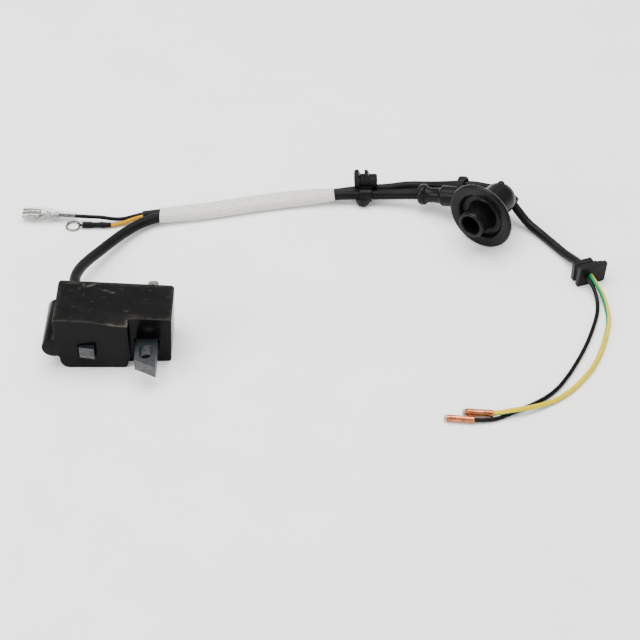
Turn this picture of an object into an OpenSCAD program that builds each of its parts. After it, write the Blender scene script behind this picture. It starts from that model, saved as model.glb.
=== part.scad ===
// Flywheel ignition coil: a potted module on a laminated core, with its high-tension lead,
// spark-plug boot and low-tension harness. It stands on the plane z = 0, with the origin below
// the middle of the module and the pole faces towards -Y. The leads lie on the same plane.

/* [Case] */
// Width of the case over its side walls, without the rib
case_w = 51.5; // [50:0.5:64]
// Depth of the case from front wall to back wall
case_d = 27; // [26:0.5:34]
// Height of the case at its left wall
case_h = 28.4; // [28:0.2:36]
// How much lower the rim is at the right wall
rim_fall = 3.4; // [0:0.2:3.6]
// Thickness of the moulded walls
wall = 1.8; // [1.5:0.1:2.2]
// Width of the right-hand part, where the front wall is set back
step_w = 19; // [18.5:0.5:20]
// How far the front wall is set back there
step_d = 4; // [2:0.5:5]
// How far the right side wall leans in from rim to floor
side_lean = 1.5; // [0:0.1:1.6]
// Diameter of the half-round rib along the left wall
rib_d = 10; // [8:0.5:11]
// How far the rib stands out from the left wall
rib_out = 6.3; // [5:0.1:7]
// Distance from the rim down to the potting compound
fill_drop = 0.5; // [0.2:0.1:0.8]

/* [Core] */
// Thickness of the lamination stack
core_t = 6; // [5:0.2:7.2]
// Width of the wound pole on the left
pole_w = 6.8; // [5.6:0.2:7]
// Distance from the left wall to the middle of the wound pole
pole_mid = 13.7; // [13.5:0.1:15]
// How far the middle of that pole stands out of the front wall
pole_out = 1.9; // [1.5:0.1:3]
// Width of the mounting leg on the right
leg_w = 9.6; // [9:0.2:10]
// Width of the back yoke that joins the two
yoke_w = 7; // [6:0.5:7.5]
// Radius that the pole faces are ground to, the flywheel's radius and the air gap
flywheel_r = 90; // [75:1:110]
// Width of the mounting slot in the leg
slot_w = 5.7; // [4.8:0.1:6]
// Length of the mounting slot over its round ends
slot_l = 8.5; // [7:0.5:9]
// Diameter of the stack rivets
rivet_d = 3; // [2.4:0.2:3.6]

/* [Windings] */
// Depth of wire on the primary bobbin
primary_build = 1.1; // [0.8:0.1:1.3]
// Depth of wire on the secondary bobbin
secondary_build = 1.2; // [0.8:0.1:1.3]
// Depth of wire on the charge bobbin
charge_build = 1.6; // [1:0.1:1.8]
// Thickness of the bobbin tubes and flanges
bobbin_t = 0.7; // [0.5:0.1:0.8]

/* [Leads] */
// Diameter of the high-tension lead
lead_d = 5; // [4.8:0.1:5.2]
// Diameter of the harness jacket
cable_d = 4.2; // [4:0.1:4.4]
// Diameter of the black wires
wire_d = 1.9; // [1.6:0.1:2]
// Diameter of the striped wire
striped_d = 2.2; // [1.8:0.1:2.2]
// Outer diameter of the crimp ferrules
ferrule_d = 3.2; // [3:0.1:3.4]
// Length of the crimp ferrules
ferrule_l = 12; // [8:0.5:14]
// Travel of the clear cover along its wire
cover_travel = 12; // [4:1:12]

/* [Plug boot] */
// Bore at the mouth that seats on the plug's insulator
socket_d = 9.6; // [8:0.2:10.4]
// Depth of that bore, up to the spring chamber
socket_l = 10; // [8:0.5:12]
// Outer diameter of the boot's plug tube
tube_d = 13.4; // [12:0.2:14]
// Outer diameter of the elbow and its barrel to the flange
elbow_d = 16; // [14.8:0.2:17]
// Diameter of the dished flange
flange_d = 34; // [28:1:34]
// Distance from the elbow's centre to the mouth
boot_reach = 25; // [22:0.5:30]

/* [Hidden] */
$fn = 48;
fit = 0.1;        // clearance round pieces that slide or drop in
pot_gap = 0.05;   // potting compound to the pieces that it surrounds
toe_in = 2.2;     // slope of the main block's right foot
toe_h = 6.5;
corner_r = 1.8;   // upright corners of the case

// Windings, from the pole outwards
primary_tube_r = sqrt(pow(pole_w / 2, 2) + pow(core_t / 2, 2)) + bobbin_t;
primary_flange_r = primary_tube_r + primary_build + 0.2;
secondary_bore_r = primary_flange_r + fit;
secondary_tube_r = secondary_bore_r + bobbin_t;
secondary_flange_r = secondary_tube_r + secondary_build + 0.15;

// Places in the case, measured from its left wall, front wall and foot
core_z = wall + secondary_flange_r + fit - core_t / 2;
core_mid_z = core_z + core_t / 2;
step_x = case_w - step_w;
leg_mid = case_w - step_w / 2 - 2;
yoke_y = case_d - wall - 1.2 - yoke_w;
bobbin_y = wall + 0.2;
bobbin_l = yoke_y - 0.4 - bobbin_y;
charge_y = step_d + wall + 0.4;
charge_l = yoke_y - 0.4 - charge_y;
secondary_slots = 4;
slot_pitch = (bobbin_l - bobbin_t) / secondary_slots;
// Half sizes of the rectangular charge bobbin round the leg
charge_half = [leg_w / 2 + bobbin_t + 0.05, core_t / 2 + bobbin_t + 0.05];
arc_shift = 17.1;
arc_x = pole_mid - arc_shift;
arc_y = -pole_out - sqrt(pow(flywheel_r, 2) - pow(arc_shift, 2));
leg_tip_y = arc_y + sqrt(pow(flywheel_r, 2) - pow(leg_mid + leg_w / 2 - arc_x, 2));
slot_y = -3.9;

// Board, with its parts on top
board_t = 1.6;
board_z = core_mid_z + secondary_flange_r + 0.5;
board_top = board_z + board_t;
board_x = wall + 2.2;
board_y = step_d + wall + 1.2;
board_w = case_w - 2 * wall - 4.4;
board_d = case_d - wall - 0.4 - board_y;
capacitor_size = [7, 13, 11];

// Stop tab, a 4.8 mm blade
tab_w = 4.8;
tab_t = 0.8;
tab_out = 6.2;
tab_x = case_w - 10;

// High-tension outlet
exit_x = 5.6;
exit_z = 14;
outlet_r = 4.2;
outlet_l = 8;
seal_r = 3.2;

// Middle of the module, which becomes the origin
mid_x = (case_w - rib_out) / 2;
mid_y = (case_d + tab_out + leg_tip_y) / 2;

// Boot, measured from the point on the bench below the lead's exit
elbow = [196.9, 71, flange_d / 2];
boot_turn = 233.1;   // heading of the mouth
barrel_angle = 75.6; // from the mouth to the lead barrel
barrel_dip = 13;
guide_at = [203.8, 77.8, 9.9];
chamber_d = socket_d - 0.8;
spring_wire = 0.9;
spring_r = chamber_d / 2 - spring_wire / 2 - 0.25;
spring_turns = 4;

// Terminals and grommet
terminal_at = [-16.5, 75.8, 3.2];
terminal_turn = -5;
ring_at = [-9.4, 70.5];
shrink_at = [-5.5, 70.1, 1.6];
shrink_l = 14.8;
ring_bore = 5.2;
ring_d = 7.6;
clip_at = [133.4, 88.9, 5.3];
grommet_at = [231.3, 26.5];
grommet_turn = 20;
ferrule_bore_r = 1.2;
striped_end = [185.6, -57.8, 2.4];
black_end = [177.4, -60.9, 1.7];

// Routes, in mm from the point on the bench below the lead's exit
lead_route = [
    [0, -8.6, 14], [0, 6, 14], [-1, 12.5, 13.6], [-1.9, 19, 12.4], [-0.8, 27, 10.8],
    [2, 35, 9], [6.3, 43.5, 7.2], [11.7, 53, 5.6], [18.5, 62.8, 4.4], [26, 69.9, 3.9],
    [33, 73.3, 3.8], [44, 75.3, 3.3], [56, 77.6, 3.05], [74.5, 82, 3.05], [93.6, 86, 3.05],
    [106, 88, 3.4], [118, 89.3, 4.6], [133.4, 88.9, 5.3], [146, 88.3, 6], [155, 87.2, 7],
    [161.3, 85.8, 8.1], [173.5, 80.7, 11.2], [185.2, 75.8, 14.1]
];
cable_route = [
    [24.3, 76.8, 2.2], [33, 78, 2.6], [44, 80, 2.6], [55, 82.2, 2.6], [73.5, 86.6, 2.6],
    [92.6, 90.6, 2.6], [105.4, 92.6, 2.6], [118, 93.8, 2.6], [127, 94.4, 3.6],
    [133.4, 94.1, 4.7], [144, 94.3, 5.4], [155, 94.8, 6.5], [164.3, 92.6, 8.2],
    [171.5, 89, 11.2], [181, 85.2, 14.5], [190, 83.6, 14.6], [198.5, 82, 12.6],
    [203.8, 77.8, 9.9], [207.8, 73.4, 6.8], [211.6, 69.4, 3.9], [216.8, 63.8, 2.3],
    [222.7, 55.1, 2.3], [227.5, 47.6, 2.6], [231, 41.6, 4], [233, 37.2, 5.2], [235.3, 31.1, 5.2]
];
black_route = [
    [234.26, 30.65, 5.4], [235.9, 26.1, 5.4], [237.9, 22, 4], [239.1, 17.5, 2.2], [239, 11, 1.1],
    [237.6, 4.5, 1], [235.6, -1.6, 1], [233.2, -8.2, 1], [230.7, -14.2, 1], [225.5, -24.8, 1],
    [219.9, -34.5, 1], [214.1, -42.4, 1], [207.9, -47.9, 1], [202, -51.7, 1], [197, -54.4, 1],
    [192, -57.2, 1], [187, -59.6, 1.1], [182, -60.7, 1.4], [174.9, -60.7, 1.7]
];
striped_route = [
    [236.33, 31.42, 5.4], [238, 26.8, 5.4], [240.4, 21.6, 4], [242.4, 16.2, 2.2], [243.2, 10, 1.2],
    [243.1, 3.5, 1.1], [241.7, -3.9, 1.1], [237.9, -15.9, 1.1], [232.6, -27.4, 1.1],
    [226.5, -36.2, 1.1], [218.8, -44.5, 1.1], [211.6, -49.7, 1.4], [204.1, -53.5, 2.3],
    [198, -55.8, 3.2], [192.4, -57, 3.2], [188.5, -57.5, 2.7], [183.1, -57.4, 2.25]
];
stop_route = [
    [-19.5, 76.1, 3.2], [-10, 75.2, 3.2], [-2, 74.5, 3.2], [4.5, 74, 3.2], [9.5, 74, 2.3],
    [14.5, 75, 1.5], [19.5, 76.5, 1.8], [24.3, 77.8, 2.2], [31.5, 78.8, 2.5]
];
earth_route = [
    [-3.5, 70.1, 1.6], [2, 70.1, 1.6], [9.3, 70.1, 1.6], [14.5, 71.7, 1.5], [19.5, 74.1, 1.8],
    [24.3, 75.8, 2.2], [31.5, 76.8, 2.5]
];
// The lead and the cable at the same stations along the woven sleeve
sleeve_stations = 7;
lead_first = 10;
cable_first = 1;
sleeve_wall = 0.3;
sleeve_gap = 0.15;

// ---- Frames ----

module in_module() {
    translate([-mid_x, -mid_y, 0]) children();
}

module on_bench() {
    translate([exit_x - mid_x, case_d - mid_y, 0]) children();
}

// Turns +Z to a heading in plan and a dip below the level
module aim(heading, dip = 0) {
    rotate([0, 0, heading]) rotate([0, dip, 0]) rotate([0, 90, 0]) children();
}

module at_elbow() {
    on_bench() translate(elbow) children();
}

module along_tube() {
    at_elbow() aim(boot_turn) children();
}

module along_barrel() {
    at_elbow() aim(boot_turn - barrel_angle, barrel_dip) children();
}

module along_terminal() {
    on_bench() translate(terminal_at) aim(terminal_turn) children();
}

module in_grommet() {
    on_bench() translate(grommet_at) rotate([0, 0, grommet_turn]) children();
}

// ---- Swept tubes ----

function unit(v) = v / norm(v);

// Direction of a route at one of its points
function heading(p, i) = unit(p[min(i + 1, len(p) - 1)] - p[max(i - 1, 0)]);

function round_ring(p, i, r, n) =
    let (along = heading(p, i), across = unit(cross(along, [0, 0, 1])), up = cross(across, along))
    [for (k = [0:n - 1]) p[i] + r * (cos(360 * k / n) * across + sin(360 * k / n) * up)];

// Faces of a tube from rings of n points each, closed at both ends
function tube_faces(rings, n) = concat(
    [[for (k = [0:n - 1]) n - 1 - k]],
    [for (i = [0:rings - 2], k = [0:n - 1]) each
        let (a = i * n + k, b = i * n + (k + 1) % n) [[a, b, b + n], [a, b + n, a + n]]],
    [[for (k = [0:n - 1]) (rings - 1) * n + k]]
);

module tube(p, d, n) {
    points = [for (i = [0:len(p) - 1]) each round_ring(p, i, d / 2, n)];
    polyhedron(points, tube_faces(len(p), n), convexity = 6);
}

// Outline round the lead and the cable lying side by side in the sleeve
function sleeve_ring(i, grow) =
    let (
        lead_at = lead_route[lead_first + i],
        cable_at = cable_route[cable_first + i],
        along = heading(lead_route, lead_first + i),
        across = unit(cable_at - lead_at),
        up = unit(cross(across, along)),
        lead_side = [for (a = [90:30:270])
            lead_at + (lead_d / 2 + grow) * (cos(a) * across + sin(a) * up)],
        cable_side = [for (a = [-90:30:90])
            cable_at + (cable_d / 2 + grow) * (cos(a) * across + sin(a) * up)]
    )
    concat(lead_side, cable_side);

module sleeve_solid(grow, overrun) {
    n = 14;
    last = sleeve_stations - 1;
    rings = [for (i = [0:last])
        let (end = i == 0 ? -overrun : i == last ? overrun : 0)
        [for (q = sleeve_ring(i, grow)) q + end * heading(lead_route, lead_first + i)]];
    polyhedron([for (r = rings) each r], tube_faces(sleeve_stations, n), convexity = 6);
}

// ---- Case ----

// Height of the rim at a distance from the left wall
function rim_z(x) = case_h - rim_fall * x / case_w;

// Front view of the main block, drawn in by t all round and open at the top when t > 0
module main_profile(t) {
    top = t > 0 ? 10 : 0;
    polygon([
        [3.2 + 0.7 * t, t], [step_x - toe_in - t, t], [step_x - t, toe_h],
        [step_x - t, rim_z(step_x) + top], [t, rim_z(0) + top], [t, 6.2 + 0.4 * t], [1.2 + t, 3.2 + 0.5 * t]
    ]);
}

// Front view of the right-hand part, which runs on into the main block
module step_profile(t) {
    top = t > 0 ? 10 : 0;
    left = step_x - toe_in - 2 * t;
    polygon([
        [left, t], [case_w - side_lean - t - 1.2, t], [case_w - side_lean - t, t + 1.2],
        [case_w - t, rim_z(case_w) + top], [left, rim_z(left) + top]
    ]);
}

// Plan of the case with round upright corners
module case_plan(t) {
    r = max(corner_r - t, 0.4);
    x0 = t;
    x1 = case_w - t;
    y0 = t;
    y1 = case_d - t;
    translate([x0 + r, y0]) square([x1 - x0 - 2 * r, y1 - y0]);
    translate([x0, y0]) square([x1 - x0, y1 - y0 - r]);
    for (x = [x0 + r, x1 - r]) translate([x, y1 - r]) circle(r);
}

// Extrudes a front view from y0 to y1
module from_front(y0, y1) {
    translate([0, y1, 0]) rotate([90, 0, 0]) linear_extrude(y1 - y0) children();
}

module case_body(t) {
    intersection() {
        union() {
            from_front(t, case_d - t) main_profile(t);
            from_front(step_d + t, case_d - t) step_profile(t);
        }
        translate([0, 0, -1]) linear_extrude(case_h + 20) case_plan(t);
    }
}

module rib() {
    translate([rib_d / 2 - rib_out, 0, 11.9]) {
        rotate([-90, 0, 0]) cylinder(d = rib_d, h = case_d - 1);
        translate([0, 0, -3]) cube([rib_out - rib_d / 2 + 1, case_d - 1, 6]);
    }
}

module outlet(r, y0, y1) {
    translate([exit_x, y0, exit_z]) rotate([-90, 0, 0]) cylinder(r = r, h = y1 - y0);
}

module coil_case() {
    back = case_d - wall;
    color("#1b1b1d") in_module() difference() {
        union() {
            difference() {
                union() {
                    case_body(0);
                    rib();
                }
                case_body(wall);
            }
            intersection() {
                outlet(outlet_r, back - outlet_l, case_d - 0.5);
                case_body(0);
            }
        }
        outlet(lead_d / 2 + fit, back - outlet_l + 1.2, case_d + 1);
        outlet(seal_r + fit, case_d - wall, case_d + 1);
        outlet(0.65, back - outlet_l - 1, back);
        core_block(0, -30);
        translate([tab_x - tab_w / 2, case_d - wall - 1, board_top]) cube([tab_w, wall + 2, tab_t]);
    }
}

// ---- Core ----

module core_block(grow, front) {
    w = pole_w + 2 * grow;
    lw = leg_w + 2 * grow;
    h = core_t + 2 * grow;
    back = yoke_y + yoke_w + grow;
    translate([pole_mid - w / 2, front, core_z - grow]) cube([w, back - front, h]);
    translate([leg_mid - lw / 2, front, core_z - grow]) cube([lw, back - front, h]);
    translate([pole_mid - w / 2, yoke_y - grow, core_z - grow])
        cube([leg_mid - pole_mid + (w + lw) / 2, yoke_w + 2 * grow, h]);
}

module rivet_places() {
    for (x = [pole_mid, leg_mid]) translate([x, yoke_y + yoke_w / 2, core_z]) children();
}

module mounting_slot() {
    half = (slot_l - slot_w) / 2;
    translate([leg_mid, slot_y, core_z - 1]) {
        for (s = [-1, 1]) translate([0, s * half, 0]) cylinder(d = slot_w, h = core_t + 2);
        translate([-slot_w / 2, -half, 0]) cube([slot_w, 2 * half, core_t + 2]);
    }
}

module core_stack() {
    color("#8a8c8e") in_module() difference() {
        core_block(0, leg_tip_y - 5);
        translate([arc_x, arc_y, core_z - 1]) cylinder(r = flywheel_r, h = core_t + 2, $fn = 180);
        mounting_slot();
        rivet_places() translate([0, 0, -1]) cylinder(d = rivet_d + fit, h = core_t + 2);
    }
}

module core_rivets() {
    color("#9a9a98") in_module() rivet_places() {
        cylinder(d = rivet_d, h = core_t);
        for (z = [-0.8, core_t]) translate([0, 0, z]) cylinder(d = rivet_d + 1.8, h = 0.8);
    }
}

// ---- Windings ----

module round_disc(r, y, t) {
    translate([pole_mid, y, core_mid_z]) rotate([-90, 0, 0]) cylinder(r = r, h = t);
}

module pole_bore(half_w, half_h, mid, y, l) {
    translate([mid - half_w, y, core_mid_z - half_h]) cube([2 * half_w, l, 2 * half_h]);
}

module primary_bobbin() {
    color("#d8cfae") in_module() difference() {
        union() {
            round_disc(primary_tube_r, bobbin_y, bobbin_l);
            round_disc(primary_flange_r, bobbin_y, bobbin_t);
            round_disc(primary_flange_r, bobbin_y + bobbin_l - bobbin_t, bobbin_t);
        }
        pole_bore(pole_w / 2 + 0.05, core_t / 2 + 0.05, pole_mid, bobbin_y - 1, bobbin_l + 2);
    }
}

module primary_winding() {
    color("#b5622f") in_module() difference() {
        round_disc(primary_tube_r + primary_build, bobbin_y + bobbin_t, bobbin_l - 2 * bobbin_t);
        round_disc(primary_tube_r, bobbin_y, bobbin_l);
    }
}

module secondary_bobbin() {
    color("#e2dcc8") in_module() difference() {
        union() {
            round_disc(secondary_tube_r, bobbin_y, bobbin_l);
            for (i = [0:secondary_slots])
                round_disc(secondary_flange_r, bobbin_y + i * slot_pitch, bobbin_t);
        }
        round_disc(secondary_bore_r, bobbin_y - 1, bobbin_l + 2);
    }
}

module secondary_winding() {
    color("#a85628") in_module() for (i = [0:secondary_slots - 1]) difference() {
        y = bobbin_y + i * slot_pitch + bobbin_t;
        round_disc(secondary_tube_r + secondary_build, y, slot_pitch - bobbin_t);
        round_disc(secondary_tube_r, y - 1, slot_pitch + 2);
    }
}

module charge_layer(grow, y, l) {
    pole_bore(charge_half[0] + grow, charge_half[1] + grow, leg_mid, y, l);
}

module charge_bobbin() {
    color("#d8cfae") in_module() difference() {
        union() {
            charge_layer(0, charge_y, charge_l);
            charge_layer(charge_build + 0.2, charge_y, bobbin_t);
            charge_layer(charge_build + 0.2, charge_y + charge_l - bobbin_t, bobbin_t);
        }
        pole_bore(leg_w / 2 + 0.05, core_t / 2 + 0.05, leg_mid, charge_y - 1, charge_l + 2);
    }
}

module charge_winding() {
    color("#b5622f") in_module() difference() {
        charge_layer(charge_build, charge_y + bobbin_t, charge_l - 2 * bobbin_t);
        charge_layer(0, charge_y, charge_l);
    }
}

// ---- Board and its parts ----

module circuit_board() {
    color("#3f6b3a") in_module() translate([board_x, board_y, board_z]) cube([board_w, board_d, board_t]);
}

module capacitor_block(grow) {
    translate([step_x - wall - capacitor_size[0] - 0.5, bobbin_y + 1, toe_h + 0.2] - grow * [1, 1, 1])
        cube(capacitor_size + 2 * grow * [1, 1, 1]);
}

module charge_capacitor() {
    color("#b8862c") in_module() capacitor_block(0);
}

module thyristor_block(grow) {
    translate([board_x + 3, board_y + 3, board_top + 0.1] - grow * [1, 1, 1])
        cube([8, 10, 2.6] + 2 * grow * [1, 1, 1]);
}

module thyristor() {
    color("#222224") in_module() thyristor_block(0);
}

// A barrel-shaped part that lies on the board
module axial_part(x, y, d, l) {
    translate([x, y, board_top + d / 2 + 0.1]) rotate([-90, 0, 0]) cylinder(d = d, h = l);
}

module diode_places(grow) {
    for (x = [board_x + 15, board_x + 19]) axial_part(x, board_y + 3 - grow, 2.6 + 2 * grow, 5 + 2 * grow);
}

module resistor_places(grow) {
    for (x = [board_x + 24, board_x + 28]) axial_part(x, board_y + 4 - grow, 2.3 + 2 * grow, 6 + 2 * grow);
}

module board_diodes() {
    color("#2a2a2c") in_module() diode_places(0);
}

module board_resistors() {
    color("#c9b58a") in_module() resistor_places(0);
}

module strap_block(grow) {
    t = 0.5;
    translate([(pole_mid + leg_mid) / 2, yoke_y + yoke_w, core_z + 1] - grow * [1, 0, 1])
        cube([3, t, board_z - core_z - 1] + grow * [2, 1, 2]);
}

module earth_strap() {
    color("#c8c9c6") in_module() strap_block(0);
}

module stop_tab() {
    lead_in = 1.1;
    inner = 6.5;
    color("#c4c2b8") in_module() translate([tab_x, case_d - wall - inner, board_top])
        linear_extrude(tab_t) polygon([
            [-tab_w / 2, 0], [tab_w / 2, 0], [tab_w / 2, wall + inner + tab_out - lead_in],
            [tab_w / 2 - lead_in, wall + inner + tab_out], [lead_in - tab_w / 2, wall + inner + tab_out],
            [-tab_w / 2, wall + inner + tab_out - lead_in]
        ]);
}

module lead_spike() {
    color("#c9a24a") in_module() outlet(0.6, case_d - wall - outlet_l - 0.4, case_d - wall - outlet_l + 5.5);
}

module potting_compound() {
    g = pot_gap;
    color("#232325") in_module() difference() {
        intersection() {
            case_body(wall);
            from_front(0, case_d) polygon([
                [0, 0], [case_w, 0], [case_w, rim_z(case_w) - fill_drop], [0, rim_z(0) - fill_drop]
            ]);
        }
        core_block(g, -30);
        rivet_places() translate([0, 0, -0.8 - g]) cylinder(d = rivet_d + 1.8 + 2 * g, h = core_t + 1.6 + 2 * g);
        round_disc(secondary_flange_r + g, bobbin_y - g, bobbin_l + 2 * g);
        charge_layer(charge_build + 0.2 + g, charge_y - g, charge_l + 2 * g);
        capacitor_block(g);
        translate([board_x - g, board_y - g, board_z - g])
            cube([board_w + 2 * g, board_d + 2 * g, board_t + 2 * g]);
        thyristor_block(g);
        diode_places(g);
        resistor_places(g);
        strap_block(g);
        outlet(outlet_r + g, case_d - wall - outlet_l - g, case_d);
        outlet(0.6 + g, case_d - wall - outlet_l - 0.4 - g, case_d);
        translate([tab_x - tab_w / 2 - g, case_d - wall - 6.5 - g, board_top - g])
            cube([tab_w + 2 * g, 20, tab_t + 2 * g]);
    }
}

// ---- High-tension lead ----

module lead_seal() {
    color("#151516") in_module() translate([exit_x, case_d, exit_z]) rotate([-90, 0, 0]) difference() {
        union() {
            translate([0, 0, -wall]) cylinder(r = seal_r, h = wall + 0.1);
            cylinder(r1 = 4.4, r2 = 3.6, h = 4);
        }
        translate([0, 0, -wall - 1]) cylinder(r = lead_d / 2 + 0.05, h = wall + 7);
    }
}

module ht_lead() {
    color("#161617") on_bench() tube(lead_route, lead_d, 10);
}

module woven_sleeve() {
    color("#e6e5de") on_bench() difference() {
        sleeve_solid(sleeve_gap + sleeve_wall, 0);
        sleeve_solid(sleeve_gap, 0.5);
    }
}

module plug_boot() {
    tube_r = tube_d / 2;
    elbow_r = elbow_d / 2;
    flange_r = flange_d / 2;
    barrel_l = 41;
    color("#1a1a1b") difference() {
        union() {
            along_tube() rotate_extrude($fn = 72) {
                intersection() {
                    circle(r = elbow_r);
                    translate([0, -elbow_r]) square([elbow_r, elbow_r]);
                }
                polygon([
                    [0, 0], [elbow_r, 0], [elbow_r, 9.5], [elbow_r + 1.4, 10.9], [flange_r - 4.5, 12.6],
                    [flange_r - 0.8, 14.4], [flange_r, 15.4], [flange_r, 16.7], [flange_r - 0.5, 17.2],
                    [flange_r - 5, 17.2], [flange_r - 5.7, 16.5], [flange_r - 6.1, 13.9], [tube_r + 0.6, 13.4],
                    [tube_r, 14.2], [tube_r, boot_reach], [0, boot_reach]
                ]);
            }
            along_barrel() {
                cylinder(r = lead_d / 2 + 2.6, h = 30);
                translate([0, 0, 29]) cylinder(r = lead_d / 2 + 1.5, h = barrel_l - 29);
                translate([0, 0, barrel_l - 3.5]) cylinder(r = lead_d / 2 + 2.65, h = 3.5);
                cable_hook();
            }
            cable_guide();
        }
        along_tube() translate([0, 0, -2.5]) cylinder(d = chamber_d, h = boot_reach + 3);
        along_tube() translate([0, 0, boot_reach - socket_l]) cylinder(d = socket_d, h = socket_l + 1);
        along_barrel() cylinder(r = lead_d / 2 + fit, h = barrel_l + 1);
    }
}

// Loop on the barrel that the harness cable passes through
module cable_hook() {
    translate([-2.2, -7, 18.5]) difference() {
        union() {
            cylinder(r = 4.2, h = 4);
            translate([-1, 0, 0]) cube([3, 4, 4]);
        }
        translate([0, 0, -1]) cylinder(r = cable_d / 2 + 0.9, h = 6);
    }
}

// Ring behind the elbow that the harness cable passes through
module cable_guide() {
    on_bench() translate(guide_at) aim(-43, 24.5) difference() {
        cylinder(r = 3.9, h = 4, center = true);
        cylinder(r = cable_d / 2 + 0.6, h = 6, center = true);
    }
    at_elbow() aim(44.6, 36.3) translate([0, 0, 5]) cylinder(r = 2, h = 3.8);
}

module plug_spring() {
    steps = 10;
    pitch = 2.3;
    route = [for (i = [0:spring_turns * steps])
        [spring_r * cos(360 * i / steps), spring_r * sin(360 * i / steps), 3 + pitch * i / steps]];
    color("#b9bbbd") along_tube() tube(route, spring_wire, 6);
}

module boot_pin() {
    color("#c9a24a") {
        along_tube() {
            cylinder(r = 0.7, h = 1.4);
            translate([0, 0, 1.4]) cylinder(d = chamber_d - 0.4, h = 0.8);
        }
        at_elbow() sphere(r = 1);
        along_barrel() cylinder(r = 0.6, h = 17);
    }
}

// ---- Harness ----

module harness_cable() {
    color("#1b1b1c") on_bench() tube(cable_route, cable_d, 8);
}

module cable_clip() {
    cable_off = [0, 5.2, -0.6];
    ring_l = 7;
    color("#161617") on_bench() translate(clip_at) difference() {
        union() {
            translate([-ring_l / 2, 0, 0]) rotate([0, 90, 0]) cylinder(r = lead_d / 2 + 1.2, h = ring_l);
            translate(cable_off + [-ring_l / 2, 0, 0]) rotate([0, 90, 0]) cylinder(r = cable_d / 2 + 1.3, h = ring_l);
            translate([-4, 1.6, 1]) cube([9.8, 5.6, 7.1]);
            translate([-5, -2.4, -4.8]) cube([7, 3, 3.6]);
            translate([-5.6, 1.6, 2]) cube([2.4, 5.6, 8.4]);
            translate([-0.8, 1.6, 7]) cube([2.2, 5.6, 3.4]);
        }
        rotate([0, 90, 0]) cylinder(r = lead_d / 2 + 0.25, h = 14, center = true);
        translate(cable_off) rotate([0, 90, 0]) cylinder(r = cable_d / 2 + 0.5, h = 14, center = true);
    }
}

module cable_grommet() {
    color("#1a1a1b") in_grommet() difference() {
        union() {
            cube([15, 2.6, 10.7]);
            translate([0.9, 2.5, 0.9]) cube([12.6, 2, 8.9]);
            translate([0, 4.4, 0.2]) cube([9.6, 2.8, 10.2]);
        }
        translate([5.3, 3, 5.2]) rotate([-90, 0, 0]) cylinder(r = cable_d / 2 + fit, h = 6);
        translate([4.2, -1, 5.4]) rotate([-90, 0, 0]) cylinder(r = wire_d / 2 + fit, h = 5);
        translate([6.5, -1, 5.4]) rotate([-90, 0, 0]) cylinder(r = striped_d / 2 + fit, h = 5);
    }
}

module black_wire() {
    color("#1c1c1d") on_bench() tube(black_route, wire_d, 8);
}

module striped_wire() {
    color("#e5dc37") on_bench() tube(striped_route, striped_d, 8);
}

module black_frame() {
    on_bench() translate(black_end) aim(174.3) children();
}

module striped_frame() {
    on_bench() translate(striped_end) aim(171.7, 3.4) children();
}

module ferrule() {
    difference() {
        cylinder(d = ferrule_d, h = ferrule_l);
        translate([0, 0, -1]) cylinder(r = ferrule_bore_r, h = ferrule_l + 2);
    }
}

// Tinned strands from the end of the insulation to just past the ferrule
module strands() {
    translate([0, 0, 3.2]) cylinder(r = ferrule_bore_r - 0.1, h = ferrule_l - 3.2 + 1.3);
}

module black_ferrule() {
    color("#c6745a") black_frame() ferrule();
}

module striped_ferrule() {
    color("#c6745a") striped_frame() ferrule();
}

module black_strands() {
    color("#b4b2ac") black_frame() strands();
}

module striped_strands() {
    color("#b4b2ac") striped_frame() strands();
}

module stop_wire() {
    color("#1c1c1d") on_bench() tube(stop_route, wire_d, 8);
}

// Female spade for a 4.8 mm blade: rolled box, neck and two crimp barrels
module spade_terminal() {
    t = 0.4;
    box_w = 5.8;
    box_h = 2.6;
    color("#b3a27c") along_terminal() {
        translate([0, 0, -18]) difference() {
            translate([-box_h / 2, -box_w / 2, 0]) cube([box_h, box_w, 8.4]);
            translate([-box_h / 2 + t, -box_w / 2 + t, -1]) cube([box_h - 2 * t, box_w - 2 * t, 10.4]);
        }
        translate([box_h / 2 - t, -1.6, -10]) cube([t, 3.2, 3.4]);
        translate([0, 0, -7]) crimp_barrel(2.9);
        translate([box_h / 2 - t, -0.9, -4.3]) cube([t, 1.8, 1.6]);
        translate([0, 0, -2.9]) crimp_barrel(2.9);
    }
}

module crimp_barrel(l) {
    difference() {
        cylinder(r = wire_d / 2 + 0.45, h = l);
        translate([0, 0, -1]) cylinder(r = wire_d / 2 + 0.05, h = l + 2);
    }
}

// Flat-sided outline of the clear cover
module cover_outline(w, h) {
    square([h, w - h], center = true);
    for (s = [-1, 1]) translate([0, s * (w - h) / 2]) circle(d = h);
}

module spade_cover() {
    skin = 0.35;
    color("#dfe6e4", 0.5) along_terminal() {
        translate([0, 0, -15.4]) linear_extrude(12.7) difference() {
            cover_outline(7.6, 4.6);
            cover_outline(7.6 - 2 * skin, 4.6 - 2 * skin);
        }
        translate([0, 0, -2.7]) linear_extrude(skin) difference() {
            cover_outline(7.6, 4.6);
            circle(r = 1.9);
        }
        cover_tube(-2.7, 5, 2.2);
        cover_tube(2.3, 5.9, 1.9);
    }
}

module cover_tube(z, l, r) {
    translate([0, 0, z]) difference() {
        cylinder(r = r, h = l);
        translate([0, 0, -1]) cylinder(r = r - 0.35, h = l + 2);
    }
}

module earth_wire() {
    color("#d0a01c") on_bench() tube(earth_route, wire_d, 8);
}

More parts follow.
